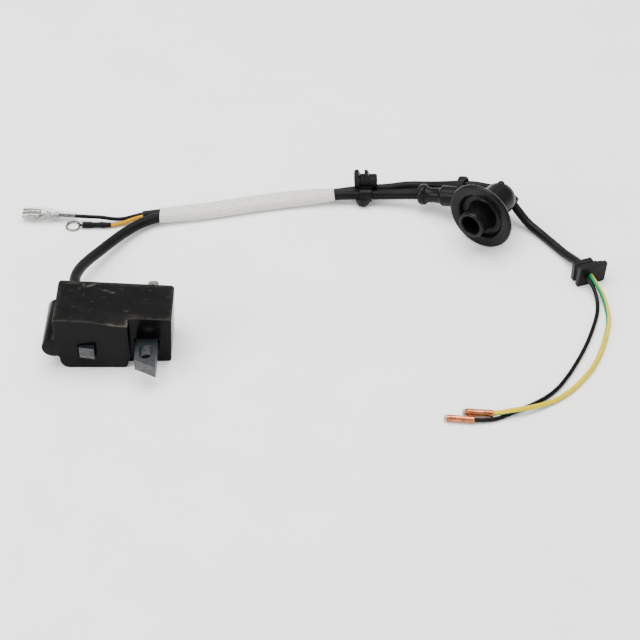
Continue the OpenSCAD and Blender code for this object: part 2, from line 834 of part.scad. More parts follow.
module ring_terminal() {
    t = 0.8;
    color("#c2c0b6") on_bench() {
        translate(ring_at) difference() {
            union() {
                cylinder(d = ring_d, h = t);
                translate([ring_d / 2 - 1, -1.3, 0]) cube([1.85, 2.6, t]);
            }
            translate([0, 0, -1]) cylinder(d = ring_bore, h = t + 2);
        }
        translate(shrink_at + [0.6, 0, 0]) rotate([0, 90, 0]) difference() {
            cylinder(r = 1.35, h = 5);
            translate([0, 0, 1]) cylinder(r = wire_d / 2 + 0.05, h = 6);
        }
    }
}

module ring_shrink() {
    color("#141415") on_bench() translate(shrink_at + [0.8, 0, 0]) rotate([0, 90, 0]) difference() {
        cylinder(r = 1.6, h = shrink_l - 0.8);
        translate([0, 0, -1]) cylinder(r = 1.36, h = 5.9);
        translate([0, 0, -1]) cylinder(r = wire_d / 2 + 0.1, h = shrink_l + 2);
    }
}

coil_case();
potting_compound();
core_stack();
core_rivets();
primary_bobbin();
primary_winding();
secondary_bobbin();
secondary_winding();
charge_bobbin();
charge_winding();
circuit_board();
charge_capacitor();
thyristor();
board_diodes();
board_resistors();
lead_spike();
earth_strap();
stop_tab();
lead_seal();
ht_lead();
woven_sleeve();
cable_clip();
plug_boot();
plug_spring();
boot_pin();
harness_cable();
cable_grommet();
black_wire();
striped_wire();
black_ferrule();
striped_ferrule();
black_strands();
striped_strands();
stop_wire();
spade_terminal();
spade_cover();
earth_wire();
ring_terminal();
ring_shrink();
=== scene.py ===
# Flywheel ignition coil with its high-tension lead, plug boot and harness, laid out on a bench.
# Pieces are shaped in millimetres in a frame of their own, then placed in the part's frame in metres.
import math
import random

import bmesh
import bpy
from mathutils import Matrix, Vector, geometry, noise


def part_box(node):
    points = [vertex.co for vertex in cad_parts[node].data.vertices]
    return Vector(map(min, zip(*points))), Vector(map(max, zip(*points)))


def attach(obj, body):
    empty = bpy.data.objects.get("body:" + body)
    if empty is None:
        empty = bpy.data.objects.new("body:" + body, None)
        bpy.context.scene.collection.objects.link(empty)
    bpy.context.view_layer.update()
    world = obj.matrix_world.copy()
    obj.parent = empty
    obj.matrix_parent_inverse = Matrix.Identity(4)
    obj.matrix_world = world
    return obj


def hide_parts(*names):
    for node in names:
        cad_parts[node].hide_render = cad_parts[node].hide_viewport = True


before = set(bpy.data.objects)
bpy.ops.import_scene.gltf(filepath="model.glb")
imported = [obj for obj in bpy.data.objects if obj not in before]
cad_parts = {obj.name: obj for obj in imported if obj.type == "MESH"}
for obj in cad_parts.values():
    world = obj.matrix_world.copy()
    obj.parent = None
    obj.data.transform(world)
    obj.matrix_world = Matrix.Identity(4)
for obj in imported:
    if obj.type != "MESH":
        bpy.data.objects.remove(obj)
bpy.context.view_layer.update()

MM = 0.001


# ---- Frames, in millimetres inside, in metres outside ----

def shift(x, y, z):
    return Matrix.Translation((x, y, z))


def turn(degrees, axis):
    return Matrix.Rotation(math.radians(degrees), 4, axis)


def aim(heading, dip=0.0):
    """Turns +Z to a heading in plan and a dip below the level."""
    return turn(heading, "Z") @ turn(dip, "Y") @ turn(90, "Y")


RIB_OUT = 6.3
case_lo, case_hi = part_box("coil_case")
seal_lo, seal_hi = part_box("lead_seal")
MODULE = Matrix.Translation((case_lo.x + RIB_OUT * MM, case_lo.y, 0)) @ Matrix.Scale(MM, 4)
BENCH = Matrix.Translation(((seal_lo.x + seal_hi.x) / 2, case_hi.y, 0)) @ Matrix.Scale(MM, 4)
ELBOW = BENCH @ shift(196.9, 71, 17)
TUBE = ELBOW @ aim(233.1)
BARREL = ELBOW @ aim(157.5, 13)
GUIDE = BENCH @ shift(203.8, 77.8, 9.9) @ aim(-43, 24.5)
CLIP = BENCH @ shift(133.4, 88.9, 5.3)
GROMMET = BENCH @ shift(231.3, 26.5, 0) @ turn(20, "Z")
SPADE = BENCH @ shift(-16.5, 75.8, 3.2) @ aim(-5)
RING = BENCH @ shift(-9.4, 70.5, 0)
SHRINK = BENCH @ shift(-5.5, 70.1, 1.6) @ turn(90, "Y")
BLACK_END = BENCH @ shift(177.4, -60.9, 1.7) @ aim(174.3)
STRIPED_END = BENCH @ shift(185.6, -57.8, 2.4) @ aim(171.7, 3.4)


# ---- Camera ----

target = BENCH @ Vector((110.9, 4, 0))
lens = bpy.data.cameras.new("camera")
lens.lens = 95.6
lens.sensor_width = 36
camera = bpy.data.objects.new("camera", lens)
elevation = math.radians(43)
camera.location = target + 0.78 * Vector((0, -math.cos(elevation), math.sin(elevation)))
camera.rotation_euler = (math.pi / 2 - elevation, 0, 0)
bpy.context.scene.collection.objects.link(camera)
bpy.context.scene.camera = camera


# ---- Materials ----

def rgb(code):
    """Linear colour from an sRGB hex value."""
    parts = [int(code[i:i + 2], 16) / 255 for i in (0, 2, 4)]
    return [c / 12.92 if c <= 0.04045 else ((c + 0.055) / 1.055) ** 2.4 for c in parts] + [1.0]


def add(tree, kind, sockets=None, **settings):
    """Adds a node; a socket's value is a number or the output that feeds it."""
    made = tree.nodes.new("ShaderNode" + kind)
    for key, value in settings.items():
        setattr(made, key, value)
    for key, value in (sockets or {}).items():
        if isinstance(value, bpy.types.NodeSocket):
            tree.links.new(value, made.inputs[key])
        else:
            made.inputs[key].default_value = value
    return made


def finish_with(name, roughness, metallic=0.0, **sockets):
    """A new material with only its shader: (material, tree, shader)."""
    made = bpy.data.materials.new(name)
    made.use_nodes = True
    tree = made.node_tree
    shader = tree.nodes["Principled BSDF"]
    shader.inputs["Roughness"].default_value = roughness
    shader.inputs["Metallic"].default_value = metallic
    for key, value in sockets.items():
        shader.inputs[key.replace("_", " ")].default_value = value
    return made, tree, shader


def stretched(tree, scale=(1, 1, 1), angle=(0, 0, 0)):
    """Object coordinates, squeezed and turned."""
    place = add(tree, "TexCoord").outputs["Object"]
    return add(tree, "Mapping", {"Vector": place, "Scale": scale, "Rotation": angle}).outputs["Vector"]


def grains(tree, size_mm, detail=3.0, place=None, rough=0.55):
    """Noise with grains of a real size."""
    place = place or add(tree, "TexCoord").outputs["Object"]
    sockets = {"Vector": place, "Scale": 1 / (size_mm * MM), "Detail": detail, "Roughness": rough}
    return add(tree, "TexNoise", sockets).outputs["Fac"]


def spread(tree, value, low, high, to_low=0.0, to_high=1.0):
    """Maps a range onto another, held at its ends."""
    sockets = {"Value": value, "From Min": low, "From Max": high, "To Min": to_low, "To Max": to_high}
    return add(tree, "MapRange", sockets, clamp=True).outputs["Result"]


def tint(tree, factor, first, second):
    """Blends two colours, given as hex values or outputs."""
    first = rgb(first) if isinstance(first, str) else first
    second = rgb(second) if isinstance(second, str) else second
    mixed = add(tree, "Mix", data_type="RGBA")
    for socket, value in ((mixed.inputs[0], factor), (mixed.inputs[6], first), (mixed.inputs[7], second)):
        if isinstance(value, bpy.types.NodeSocket):
            tree.links.new(value, socket)
        else:
            socket.default_value = value
    return mixed.outputs[2]


def relief(tree, shader, height, depth_mm, strength=1.0):
    sockets = {"Height": height, "Distance": depth_mm * MM, "Strength": strength}
    tree.links.new(add(tree, "Bump", sockets).outputs["Normal"], shader.inputs["Normal"])


def math_node(tree, operation, first, second=0.0):
    return add(tree, "Math", {0: first, 1: second}, operation=operation).outputs[0]


def moulded(name, dark, light, roughness, grain_mm, depth_mm, spread_of=0.08, dust="5c564b", dusty=0.0, **extra):
    """Moulded plastic or rubber: cloudy colour, a grain left by the mould, uneven shine and some dust."""
    made, tree, shader = finish_with(name, roughness, **extra)
    cloud = grains(tree, 9.0, 4.0)
    fine = grains(tree, grain_mm, 2.0)
    colour = tint(tree, spread(tree, cloud, 0.35, 0.65), dark, light)
    if dusty:
        speck = grains(tree, 0.5, 5.0, rough=0.7)
        colour = tint(tree, spread(tree, speck, 0.66, 0.76, 0.0, dusty), colour, dust)
    tree.links.new(colour, shader.inputs["Base Color"])
    blotch = grains(tree, 2.5, 5.0)
    tree.links.new(spread(tree, blotch, 0.3, 0.7, roughness - spread_of, roughness + spread_of), shader.inputs["Roughness"])
    relief(tree, shader, fine, depth_mm)
    return made


def metal(name, dark, light, roughness, grain_mm, depth_mm, squeeze=(1, 1, 1), angle=(0, 0, 0), stain=None):
    """Bare or plated metal with lines from drawing or grinding, and stains."""
    made, tree, shader = finish_with(name, roughness, 1.0)
    lines = grains(tree, grain_mm, 3.0, stretched(tree, squeeze, angle))
    patch = grains(tree, 2.2, 4.0)
    colour = tint(tree, spread(tree, lines, 0.3, 0.7), dark, light)
    if stain:
        colour = tint(tree, spread(tree, patch, 0.52, 0.68, 0.0, 0.75), colour, stain)
    tree.links.new(colour, shader.inputs["Base Color"])
    tree.links.new(spread(tree, patch, 0.3, 0.7, roughness * 0.75, min(1.0, roughness * 1.35)), shader.inputs["Roughness"])
    relief(tree, shader, lines, depth_mm)
    return made


def dust_and_highlight_tint(tree, shader, colour, dust, roughness, dust_roughness):
    """Dust and rubbed resin where the mesh's dust attribute says so, and on the case's left rim a painted highlight,
    broken up by grit.
    """
    level = add(tree, "Attribute", attribute_name="dust").outputs["Fac"]
    grit = spread(tree, grains(tree, 0.45, 6.0, rough=0.72), 0.38, 0.66)
    amount = math_node(tree, "MULTIPLY", level, grit)
    tree.links.new(tint(tree, amount, colour, dust), shader.inputs["Base Color"])
    tree.links.new(tint(tree, amount, roughness, [dust_roughness] * 3 + [1]), shader.inputs["Roughness"])


# Glass-filled polyester, moulded: near black and fairly glossy, so that it mirrors softly.
case_plastic, tree, shader = finish_with("moulded_polyester", 0.3, IOR=1.5, Specular_IOR_Level=0.07)
cloud = spread(tree, grains(tree, 12.0, 4.0), 0.35, 0.65)
rub = spread(tree, grains(tree, 1.6, 6.0, rough=0.7), 0.35, 0.7, 0.16, 0.3)
# The dust tint here also paints a highlight along the left rim edge, where the dust attribute is raised for it.
dust_and_highlight_tint(tree, shader, tint(tree, cloud, "040405", "080809"), rgb("6f6a5e"), rub, 0.7)
relief(tree, shader, grains(tree, 0.35, 3.0), 0.005)

# Cast epoxy: satin, with grit caught in it, rubbed marks and pale flecks.
potting_epoxy, tree, shader = finish_with("cast_epoxy", 0.5, IOR=1.55, Specular_IOR_Level=0.05)
fleck = spread(tree, grains(tree, 0.55, 5.0, rough=0.75), 0.68, 0.76, 0.0, 0.22)
smear = spread(tree, grains(tree, 1.4, 5.0, stretched(tree, (0.35, 1.2, 1))), 0.64, 0.74, 0.0, 0.35)
body = tint(tree, spread(tree, grains(tree, 7.0, 4.0), 0.35, 0.65), "040404", "090909")
body = tint(tree, math_node(tree, "MAXIMUM", fleck, smear), body, "44433f")
dust_and_highlight_tint(tree, shader, body, rgb("79746a"), spread(tree, grains(tree, 1.1, 6.0), 0.3, 0.7, 0.38, 0.62), 0.8)
relief(tree, shader, grains(tree, 0.5, 5.0, rough=0.65), 0.05)

# Electrical steel sheet with its blue-grey oxide: satin and slightly mottled.
sheet_oxide, tree, shader = finish_with("oxidised_electrical_steel", 0.42, 0.5)
mottle = spread(tree, grains(tree, 3.0, 5.0), 0.3, 0.7)
tree.links.new(tint(tree, mottle, "171b1e", "262c2f"), shader.inputs["Base Color"])
tree.links.new(spread(tree, grains(tree, 0.8, 4.0), 0.3, 0.7, 0.34, 0.52), shader.inputs["Roughness"])
relief(tree, shader, grains(tree, 0.3, 3.0), 0.006)

# The same steel ground across the sheet edges: bright and lined along the sheets.
ground_steel = metal("ground_sheet_edges", "343535", "656665", 0.45, 0.25, 0.01, (0.12, 0.12, 1.0), stain="403f3c")
rivet_steel = metal("headed_rivet_steel", "77797a", "a5a7a6", 0.35, 0.3, 0.004)

# Silicone rubber lead: satin black, faintly dusty.
lead_silicone = moulded("extruded_silicone_rubber", "0a0a0b", "111112", 0.45, 0.2, 0.012, 0.08, dusty=0.07, Specular_IOR_Level=0.08)
boot_rubber = moulded("moulded_epdm_rubber", "070707", "0d0d0e", 0.3, 0.25, 0.008, 0.06, dusty=0.05, Specular_IOR_Level=0.11)
seal_rubber = moulded("moulded_nitrile_rubber", "0a0a0a", "101011", 0.5, 0.25, 0.012, Specular_IOR_Level=0.09)
jacket_pvc = moulded("extruded_pvc_jacket", "0c0c0d", "121213", 0.42, 0.3, 0.01, 0.07, dusty=0.06, Specular_IOR_Level=0.1)
grommet_rubber = moulded("moulded_grommet_rubber", "0e0e0e", "151515", 0.4, 0.25, 0.012, 0.08, dusty=0.12, Specular_IOR_Level=0.1)
clip_nylon = moulded("moulded_black_nylon", "080808", "0e0e0e", 0.33, 0.2, 0.01, 0.07, Specular_IOR_Level=0.1)
wire_black = moulded("extruded_black_pvc", "060606", "0b0b0b", 0.26, 0.3, 0.006, 0.06, Specular_IOR_Level=0.1)
wire_amber = moulded("extruded_amber_pvc", "a07200", "b88600", 0.34, 0.3, 0.006, 0.06, Specular_IOR_Level=0.15)
shrink_tube = moulded("shrunk_polyolefin", "070707", "0d0d0d", 0.5, 0.4, 0.03, 0.08, Specular_IOR_Level=0.09)

# PVC insulation in yellow with a green stripe that turns slowly round the wire.
STRIPE_TWIST, STRIPE_AT = -0.4, 0.37
wire_striped, tree, shader = finish_with("striped_pvc_insulation", 0.4, IOR=1.53, Specular_IOR_Level=0.06)
route = add(tree, "SeparateXYZ", {0: add(tree, "UVMap", uv_map="run").outputs["UV"]})
turned = math_node(tree, "FRACT", math_node(tree, "ADD", route.outputs["Y"], math_node(tree, "MULTIPLY", route.outputs["X"], STRIPE_TWIST)))
from_stripe = math_node(tree, "ABSOLUTE", math_node(tree, "SUBTRACT", turned, STRIPE_AT))
shade = spread(tree, grains(tree, 3.0, 3.0), 0.3, 0.7)
yellow = tint(tree, shade, "bca800", "cab400")
green = tint(tree, shade, "006b42", "007d52")
tree.links.new(tint(tree, spread(tree, from_stripe, 0.2, 0.23, 1.0, 0.0), yellow, green), shader.inputs["Base Color"])
relief(tree, shader, grains(tree, 0.3, 2.0), 0.006)

# Braided glass-yarn sleeving: cream, with pillowy stitches in rows round and along the tube, and painted shade in the
# grooves between them.
sleeve_braid, tree, shader = finish_with("braided_glass_sleeving", 0.85, Sheen_Weight=0.25)
across = add(tree, "UVMap", uv_map="run").outputs["UV"]
STITCH = 1.15
# The mortar colour is painted shade in the grooves between the stitches.
woven = add(tree, "TexBrick", {
    "Vector": across, "Color1": rgb("f2f1ea"), "Color2": rgb("e2e0d6"), "Mortar": rgb("8f8b7c"),
    "Scale": 1.0, "Mortar Size": 0.16, "Mortar Smooth": 1.0, "Bias": 0.0, "Brick Width": STITCH,
    "Row Height": STITCH * 0.72}, offset=0.5, squash=1.0)
soil = spread(tree, grains(tree, 8.0, 4.0), 0.4, 0.75, 0.0, 0.35)
tree.links.new(tint(tree, soil, woven.outputs["Color"], "cfcab9"), shader.inputs["Base Color"])
fibre = grains(tree, 0.12, 2.0)
height = math_node(tree, "SUBTRACT", math_node(tree, "MULTIPLY", fibre, 0.25), woven.outputs["Fac"])
relief(tree, shader, height, 0.3)

# Drawn copper tube, crimped: salmon, with long bright and dark lines along it that are partly draw lines and partly
# painted reflection bands.
ferrule_copper = metal("drawn_copper", "7c3420", "cf8a5e", 0.22, 0.55, 0.02, (0.04, 1.0, 1.0), (0, 0, 0.1), stain="5e2517")
winding_copper = metal("enamelled_winding_wire", "8d4420", "b3622f", 0.3, 0.3, 0.06, (1.0, 0.12, 1.0))
tinned_strands = metal("solder_dipped_strands", "77756f", "c2c0bb", 0.5, 0.3, 0.05, stain="4a4743")
terminal_tin = metal("tinned_brass", "74736b", "b4b2a8", 0.26, 0.4, 0.006, (0.2, 1.0, 1.0), stain="5f5b4c")
contact_brass = metal("turned_brass", "a8823a", "c9a352", 0.3, 0.2, 0.004)
spring_steel = metal("drawn_spring_wire", "8b8d8f", "b4b6b8", 0.28, 0.2, 0.003)
tinned_strip = metal("tinned_copper_strip", "a9a9a4", "c9c9c5", 0.35, 0.4, 0.006, (0.2, 1.0, 0.2))

# Clear plasticised PVC in a thin wall: glossy, and it bends what shows through it only a little.
clear_vinyl, tree, shader = finish_with("clear_soft_pvc", 0.04, IOR=1.2, Transmission_Weight=0.95)
haze = spread(tree, grains(tree, 4.0, 3.0), 0.35, 0.7)
tree.links.new(tint(tree, haze, "f7faf9", "e9efec"), shader.inputs["Base Color"])
relief(tree, shader, grains(tree, 2.5, 2.0), 0.03)

# Inside pieces
bobbin_nylon = moulded("moulded_natural_nylon", "cfc49f", "ddd4b5", 0.5, 0.3, 0.01)
board_laminate = moulded("glass_epoxy_laminate", "2f5a2b", "3f6e38", 0.4, 0.5, 0.02)
capacitor_film = moulded("dipped_film_capacitor", "a8741f", "bd892f", 0.28, 1.2, 0.03)
part_epoxy = moulded("moulded_black_epoxy", "1a1a1c", "262628", 0.55, 0.2, 0.01)
resistor_lacquer = moulded("lacquered_carbon_film", "c0a878", "d2bc8f", 0.35, 0.4, 0.01)


# ---- Shaping ----

def joined(*shapes):
    """One bmesh out of several."""
    whole = bmesh.new()
    for shape in shapes:
        held = bpy.data.meshes.new("held")
        shape.to_mesh(held)
        shape.free()
        whole.from_mesh(held)
        bpy.data.meshes.remove(held)
    return whole


def moved(bm, matrix):
    bmesh.ops.transform(bm, matrix=matrix, verts=bm.verts)
    return bm


def corners(bm, above=30.0):
    """Edges that are sharper than an angle."""
    limit = math.radians(above)
    return [e for e in bm.edges if len(e.link_faces) == 2 and e.calc_face_angle(0.0) > limit]


def soften(bm, edges, size, segments=3):
    bmesh.ops.bevel(bm, geom=edges, offset=size, offset_type="OFFSET", affect="EDGES", segments=segments,
                    profile=0.5, material=-1, clamp_overlap=True)
    return bm


def block(lo, hi, edge=0.3, segments=3):
    """Box with soft edges."""
    bm = bmesh.new()
    bmesh.ops.create_cube(bm, size=1.0)
    size = [b - a for a, b in zip(lo, hi)]
    middle = [(a + b) / 2 for a, b in zip(lo, hi)]
    bmesh.ops.scale(bm, vec=size, verts=bm.verts)
    bmesh.ops.translate(bm, vec=middle, verts=bm.verts)
    return soften(bm, bm.edges[:], edge, segments) if edge else bm


def spun(profile, steps=48, closed=False):
    """Solid turned about Z from (radius, height) pairs; closed for a ring that misses the axis."""
    bm = bmesh.new()
    points = [bm.verts.new((r, 0, z)) for r, z in profile]
    edges = [bm.edges.new(pair) for pair in zip(points, points[1:] + (points[:1] if closed else []))
             if pair[0] is not pair[1]]
    bmesh.ops.spin(bm, geom=points + edges, cent=(0, 0, 0), axis=(0, 0, 1), angle=2 * math.pi, steps=steps,
                   use_merge=True, use_duplicate=False)
    bmesh.ops.remove_doubles(bm, verts=bm.verts, dist=1e-4)
    bmesh.ops.recalc_face_normals(bm, faces=bm.faces)
    return bm


def plate(outline, height, edge=0.0, segments=2):
    """Flat solid from an outline in XY, from z = 0 up."""
    bm = bmesh.new()
    face = bm.faces.new([bm.verts.new((x, y, 0)) for x, y in outline])
    up = bmesh.ops.extrude_face_region(bm, geom=[face])["geom"]
    bmesh.ops.translate(bm, vec=(0, 0, height), verts=[v for v in up if isinstance(v, bmesh.types.BMVert)])
    bmesh.ops.recalc_face_normals(bm, faces=bm.faces)
    return soften(bm, corners(bm), edge, segments) if edge else bm


def circle(x, y, r, n=24, first=0.0, last=360.0):
    full = abs(last - first - 360.0) < 1e-6
    steps = n if full else n - 1
    angles = [math.radians(first + (last - first) * k / steps) for k in range(n)]
    return [(x + r * math.cos(a), y + r * math.sin(a)) for a in angles]


def object_from(name, bm, place):
    moved(bm, place)
    mesh = bpy.data.meshes.new(name)
    bm.to_mesh(mesh)
    bm.free()
    made = bpy.data.objects.new(name, mesh)
    bpy.context.scene.collection.objects.link(made)
    return made


def baked(made):
    """Applies the object's modifiers to its mesh."""
    bpy.context.view_layer.update()
    mesh = bpy.data.meshes.new_from_object(made.evaluated_get(bpy.context.evaluated_depsgraph_get()))
    made.modifiers.clear()
    made.data = mesh
    return made


def cleaned(made):
    """Merges doubled points left by the cuts."""
    bm = bmesh.new()
    bm.from_mesh(made.data)
    bmesh.ops.remove_doubles(bm, verts=bm.verts, dist=2e-3)
    bm.to_mesh(made.data)
    bm.free()
    return made


def carved(made, cutters, operation="DIFFERENCE"):
    """Cuts shapes out of an object, or adds them to it."""
    for cutter in cutters:
        held = object_from("cutter", cutter, Matrix.Identity(4))
        cut = made.modifiers.new("cut", "BOOLEAN")
        cut.object, cut.operation, cut.solver = held, operation, "EXACT"
        baked(made)
        bpy.data.objects.remove(held)
    return made


def settled(made, finishes, nodes, body="module", smooth=38.0):
    """Shades a piece, gives it its materials, ties it to its body and hides its CAD nodes."""
    for finish in finishes:
        made.data.materials.append(finish)
    made.data.shade_smooth()
    made.data.set_sharp_from_angle(angle=math.radians(smooth))
    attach(made, body)
    if nodes:
        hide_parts(*nodes)
    return made


def piece(name, bm, place, finishes, nodes, body="module", smooth=38.0):
    return settled(object_from(name, bm, place), finishes, nodes, body, smooth)


# ---- Leads and wires ----

# Route points in millimetres from the point on the bench below the lead's exit, as in the part's source.
ROUTES = {
    "ht_lead": [
        (0, -8.6, 14), (0, 6, 14), (-1, 12.5, 13.6), (-1.9, 19, 12.4), (-0.8, 27, 10.8),
        (2, 35, 9), (6.3, 43.5, 7.2), (11.7, 53, 5.6), (18.5, 62.8, 4.4), (26, 69.9, 3.9),
        (33, 73.3, 3.8), (44, 75.3, 3.3), (56, 77.6, 3.05), (74.5, 82, 3.05), (93.6, 86, 3.05),
        (106, 88, 3.4), (118, 89.3, 4.6), (133.4, 88.9, 5.3), (146, 88.3, 6), (155, 87.2, 7),
        (161.3, 85.8, 8.1), (173.5, 80.7, 11.2), (185.2, 75.8, 14.1)],
    "harness_cable": [
        (24.3, 76.8, 2.2), (33, 78, 2.6), (44, 80, 2.6), (55, 82.2, 2.6), (73.5, 86.6, 2.6),
        (92.6, 90.6, 2.6), (105.4, 92.6, 2.6), (118, 93.8, 2.6), (127, 94.4, 3.6),
        (133.4, 94.1, 4.7), (144, 94.3, 5.4), (155, 94.8, 6.5), (164.3, 92.6, 8.2),
        (171.5, 89, 11.2), (181, 85.2, 14.5), (190, 83.6, 14.6), (198.5, 82, 12.6),
        (203.8, 77.8, 9.9), (207.8, 73.4, 6.8), (211.6, 69.4, 3.9), (216.8, 63.8, 2.3),
        (222.7, 55.1, 2.3), (227.5, 47.6, 2.6), (231, 41.6, 4), (233, 37.2, 5.2), (235.3, 31.1, 5.2)],
    "black_wire": [
        (234.26, 30.65, 5.4), (235.9, 26.1, 5.4), (237.9, 22, 4), (239.1, 17.5, 2.2), (239, 11, 1.1),
        (237.6, 4.5, 1), (235.6, -1.6, 1), (233.2, -8.2, 1), (230.7, -14.2, 1), (225.5, -24.8, 1),
        (219.9, -34.5, 1), (214.1, -42.4, 1), (207.9, -47.9, 1), (202, -51.7, 1), (197, -54.4, 1),
        (192, -57.2, 1), (187, -59.6, 1.1), (182, -60.7, 1.4), (174.9, -60.7, 1.7)],
    "striped_wire": [
        (236.33, 31.42, 5.4), (238, 26.8, 5.4), (240.4, 21.6, 4), (242.4, 16.2, 2.2), (243.2, 10, 1.2),
        (243.1, 3.5, 1.1), (241.7, -3.9, 1.1), (237.9, -15.9, 1.1), (232.6, -27.4, 1.1),
        (226.5, -36.2, 1.1), (218.8, -44.5, 1.1), (211.6, -49.7, 1.4), (204.1, -53.5, 2.3),
        (198, -55.8, 3.2), (192.4, -57, 3.2), (188.5, -57.5, 2.7), (183.1, -57.4, 2.25)],
    "stop_wire": [
        (-19.5, 76.1, 3.2), (-10, 75.2, 3.2), (-2, 74.5, 3.2), (4.5, 74, 3.2), (9.5, 74, 2.3),
        (14.5, 75, 1.5), (19.5, 76.5, 1.8), (24.3, 77.8, 2.2), (31.5, 78.8, 2.5)],
    "earth_wire": [
        (-3.5, 70.1, 1.6), (2, 70.1, 1.6), (9.3, 70.1, 1.6), (14.5, 71.7, 1.5), (19.5, 74.1, 1.8),
        (24.3, 75.8, 2.2), (31.5, 76.8, 2.5)],
}
LEAD_D, CABLE_D, WIRE_D, STRIPED_D = 5.0, 4.2, 1.9, 2.2


def smooth_curve(name, points, diameter, place=BENCH, sides=6, steps=8):
    """Round tube on one open spline through the points."""
    curve = bpy.data.curves.new(name, "CURVE")
    curve.dimensions = "3D"
    curve.resolution_u = curve.render_resolution_u = steps
    curve.bevel_depth, curve.bevel_resolution = diameter / 2 * MM, sides
    curve.use_fill_caps = True
    curve.twist_mode = "MINIMUM"
    spline = curve.splines.new("BEZIER")
    spline.bezier_points.add(len(points) - 1)
    for knot, point in zip(spline.bezier_points, points):
        knot.co = place @ Vector(point)
        knot.handle_left_type = knot.handle_right_type = "AUTO"
    made = bpy.data.objects.new(name, curve)
    bpy.context.scene.collection.objects.link(made)
    bpy.context.view_layer.update()
    return made


def centreline(curve_object, steps=8):
    """Points along the spline, and the length, in metres."""
    knots = curve_object.data.splines[0].bezier_points
    line = [knots[0].co.copy()]
    for a, b in zip(knots, knots[1:]):
        line += geometry.interpolate_bezier(a.co, a.handle_right, b.handle_left, b.co, steps + 1)[1:]
    return line, sum((b - a).length for a, b in zip(line, line[1:]))


def tube_mesh(curve_object, end=0.25):
    """The curve as a closed mesh with filled ends and its run-round coordinates as a UV map; the end argument is not
    used.
    """
    name = curve_object.name
    mesh = bpy.data.meshes.new_from_object(curve_object)
    bpy.data.objects.remove(curve_object)
    mesh.name = name
    mesh.uv_layers[0].name = "run"
    bm = bmesh.new()
    bm.from_mesh(mesh)
    bmesh.ops.remove_doubles(bm, verts=bm.verts, dist=1e-7)
    bmesh.ops.recalc_face_normals(bm, faces=bm.faces)
    bm.to_mesh(mesh)
    bm.free()
    made = bpy.data.objects.new(name, mesh)
    bpy.context.scene.collection.objects.link(made)
    return made


def laid(node, diameter, finish, sides=6):
    """A lead or wire along its route: (piece, centreline, length)."""
    drawn = smooth_curve(node + "_run", ROUTES[node], diameter, sides=sides)
    line, length = centreline(drawn)
    made = settled(tube_mesh(drawn), [finish], [node], smooth=50)
    return made, line, length


lead, lead_line, lead_length = laid("ht_lead", LEAD_D, lead_silicone, 8)
cable, cable_line, cable_length = laid("harness_cable", CABLE_D, jacket_pvc, 8)
black, black_line, black_length = laid("black_wire", WIRE_D, wire_black)
striped, striped_line, striped_length = laid("striped_wire", STRIPED_D, wire_striped)
stop, stop_line, stop_length = laid("stop_wire", WIRE_D, wire_black)
earth, earth_line, earth_length = laid("earth_wire", WIRE_D, wire_amber)


# ---- Lofted shapes ----

def loft(rings, length=1.0, girth=1.0, capped=False):
    """Skin over rings of points, from a grid that is wrapped round them; its UV map runs along and round."""
    rows, n = len(rings) - 1, len(rings[0])
    bm = bmesh.new()
    bmesh.ops.create_grid(bm, x_segments=rows, y_segments=n, size=0.5)
    run = bm.loops.layers.uv.new("run")
    for face in bm.faces:
        for loop in face.loops:
            loop[run].uv = ((loop.vert.co.x + 0.5) * length, (loop.vert.co.y + 0.5) * girth)
    for vert in bm.verts:
        vert.co = rings[round((vert.co.x + 0.5) * rows)][round((vert.co.y + 0.5) * n) % n]
    bmesh.ops.remove_doubles(bm, verts=bm.verts, dist=1e-5)
    if capped:
        bmesh.ops.holes_fill(bm, edges=[e for e in bm.edges if e.is_boundary], sides=0)
    bmesh.ops.recalc_face_normals(bm, faces=bm.faces)
    return bm


def smoothed(points, per=6):
    """More points on the same smooth line."""
    drawn = smooth_curve("held", points, 1.0, Matrix.Identity(4))
    line, _ = centreline(drawn, per)
    bpy.data.objects.remove(drawn)
    return line


# ---- Woven sleeve ----

def sleeve_section(lead_at, cable_at, along, grow, n):
    """Outline round the lead and the cable side by side."""
    gap = cable_at - lead_at
    across = gap.normalized()
    up = across.cross(along).normalized()
    ring = []
    for k in range(n):
        side, rise = math.cos(2 * math.pi * k / n), math.sin(2 * math.pi * k / n)
        share = 0.5 + 0.5 * max(-1.0, min(1.0, side * 1.6))
        radius = LEAD_D / 2 * (1 - share) + CABLE_D / 2 * share + grow
        ring.append(lead_at + gap * share + across * radius * side + up * radius * rise)
    return ring


def sleeve():
    n = 36
    leads = smoothed(ROUTES["ht_lead"][10:17])
    cables = smoothed(ROUTES["harness_cable"][1:8])
    last = len(leads) - 1
    outer, inner = [], []
    for i, (a, b) in enumerate(zip(leads, cables)):
        along = (leads[min(i + 1, last)] - leads[max(i - 1, 0)]).normalized()
        slack = 0.43 + 0.07 * noise.noise(Vector((i * 0.23, 3.0, 1.0)))
        outer.append(sleeve_section(a, b, along, slack, n))
        inner.append(sleeve_section(a, b, along, 0.06, n))
    length = sum((b - a).length for a, b in zip(leads, leads[1:]))
    rings = outer + inner[::-1] + outer[:1]
    return loft(rings, length * (len(rings) - 1) / last, 24 * STITCH * 0.72)


sleeve_piece = piece("glass_sleeve", sleeve(), BENCH, [sleeve_braid], ["woven_sleeve"], smooth=60)


# ---- Case and potting ----

CASE_W, CASE_D, CASE_H, RIM_FALL = 51.5, 27.0, 28.4, 3.4
STEP_X, STEP_D, WALL = 32.5, 4.0, 1.8
CORE_Z, CORE_T = 7.584, 6.0
POLE_MID, POLE_W, LEG_MID, LEG_W = 13.7, 6.8, 40.0, 9.6


def ease(t):
    t = max(0.0, min(1.0, t))
    return t * t * (3 - 2 * t)


def rim_z(x):
    return CASE_H - RIM_FALL * x / CASE_W


def droop(x, y):
    """How far the front rim sinks towards the step, with a slight waver all round."""
    near_step = ease((x - 15) / 15) * (1 - ease((x - STEP_X) / 5))
    waver = 0.1 + 0.1 * noise.noise(Vector((x * 0.2, y * 0.2, 4.2)))
    return 1.4 * near_step * ease(1 - y / 8) + waver


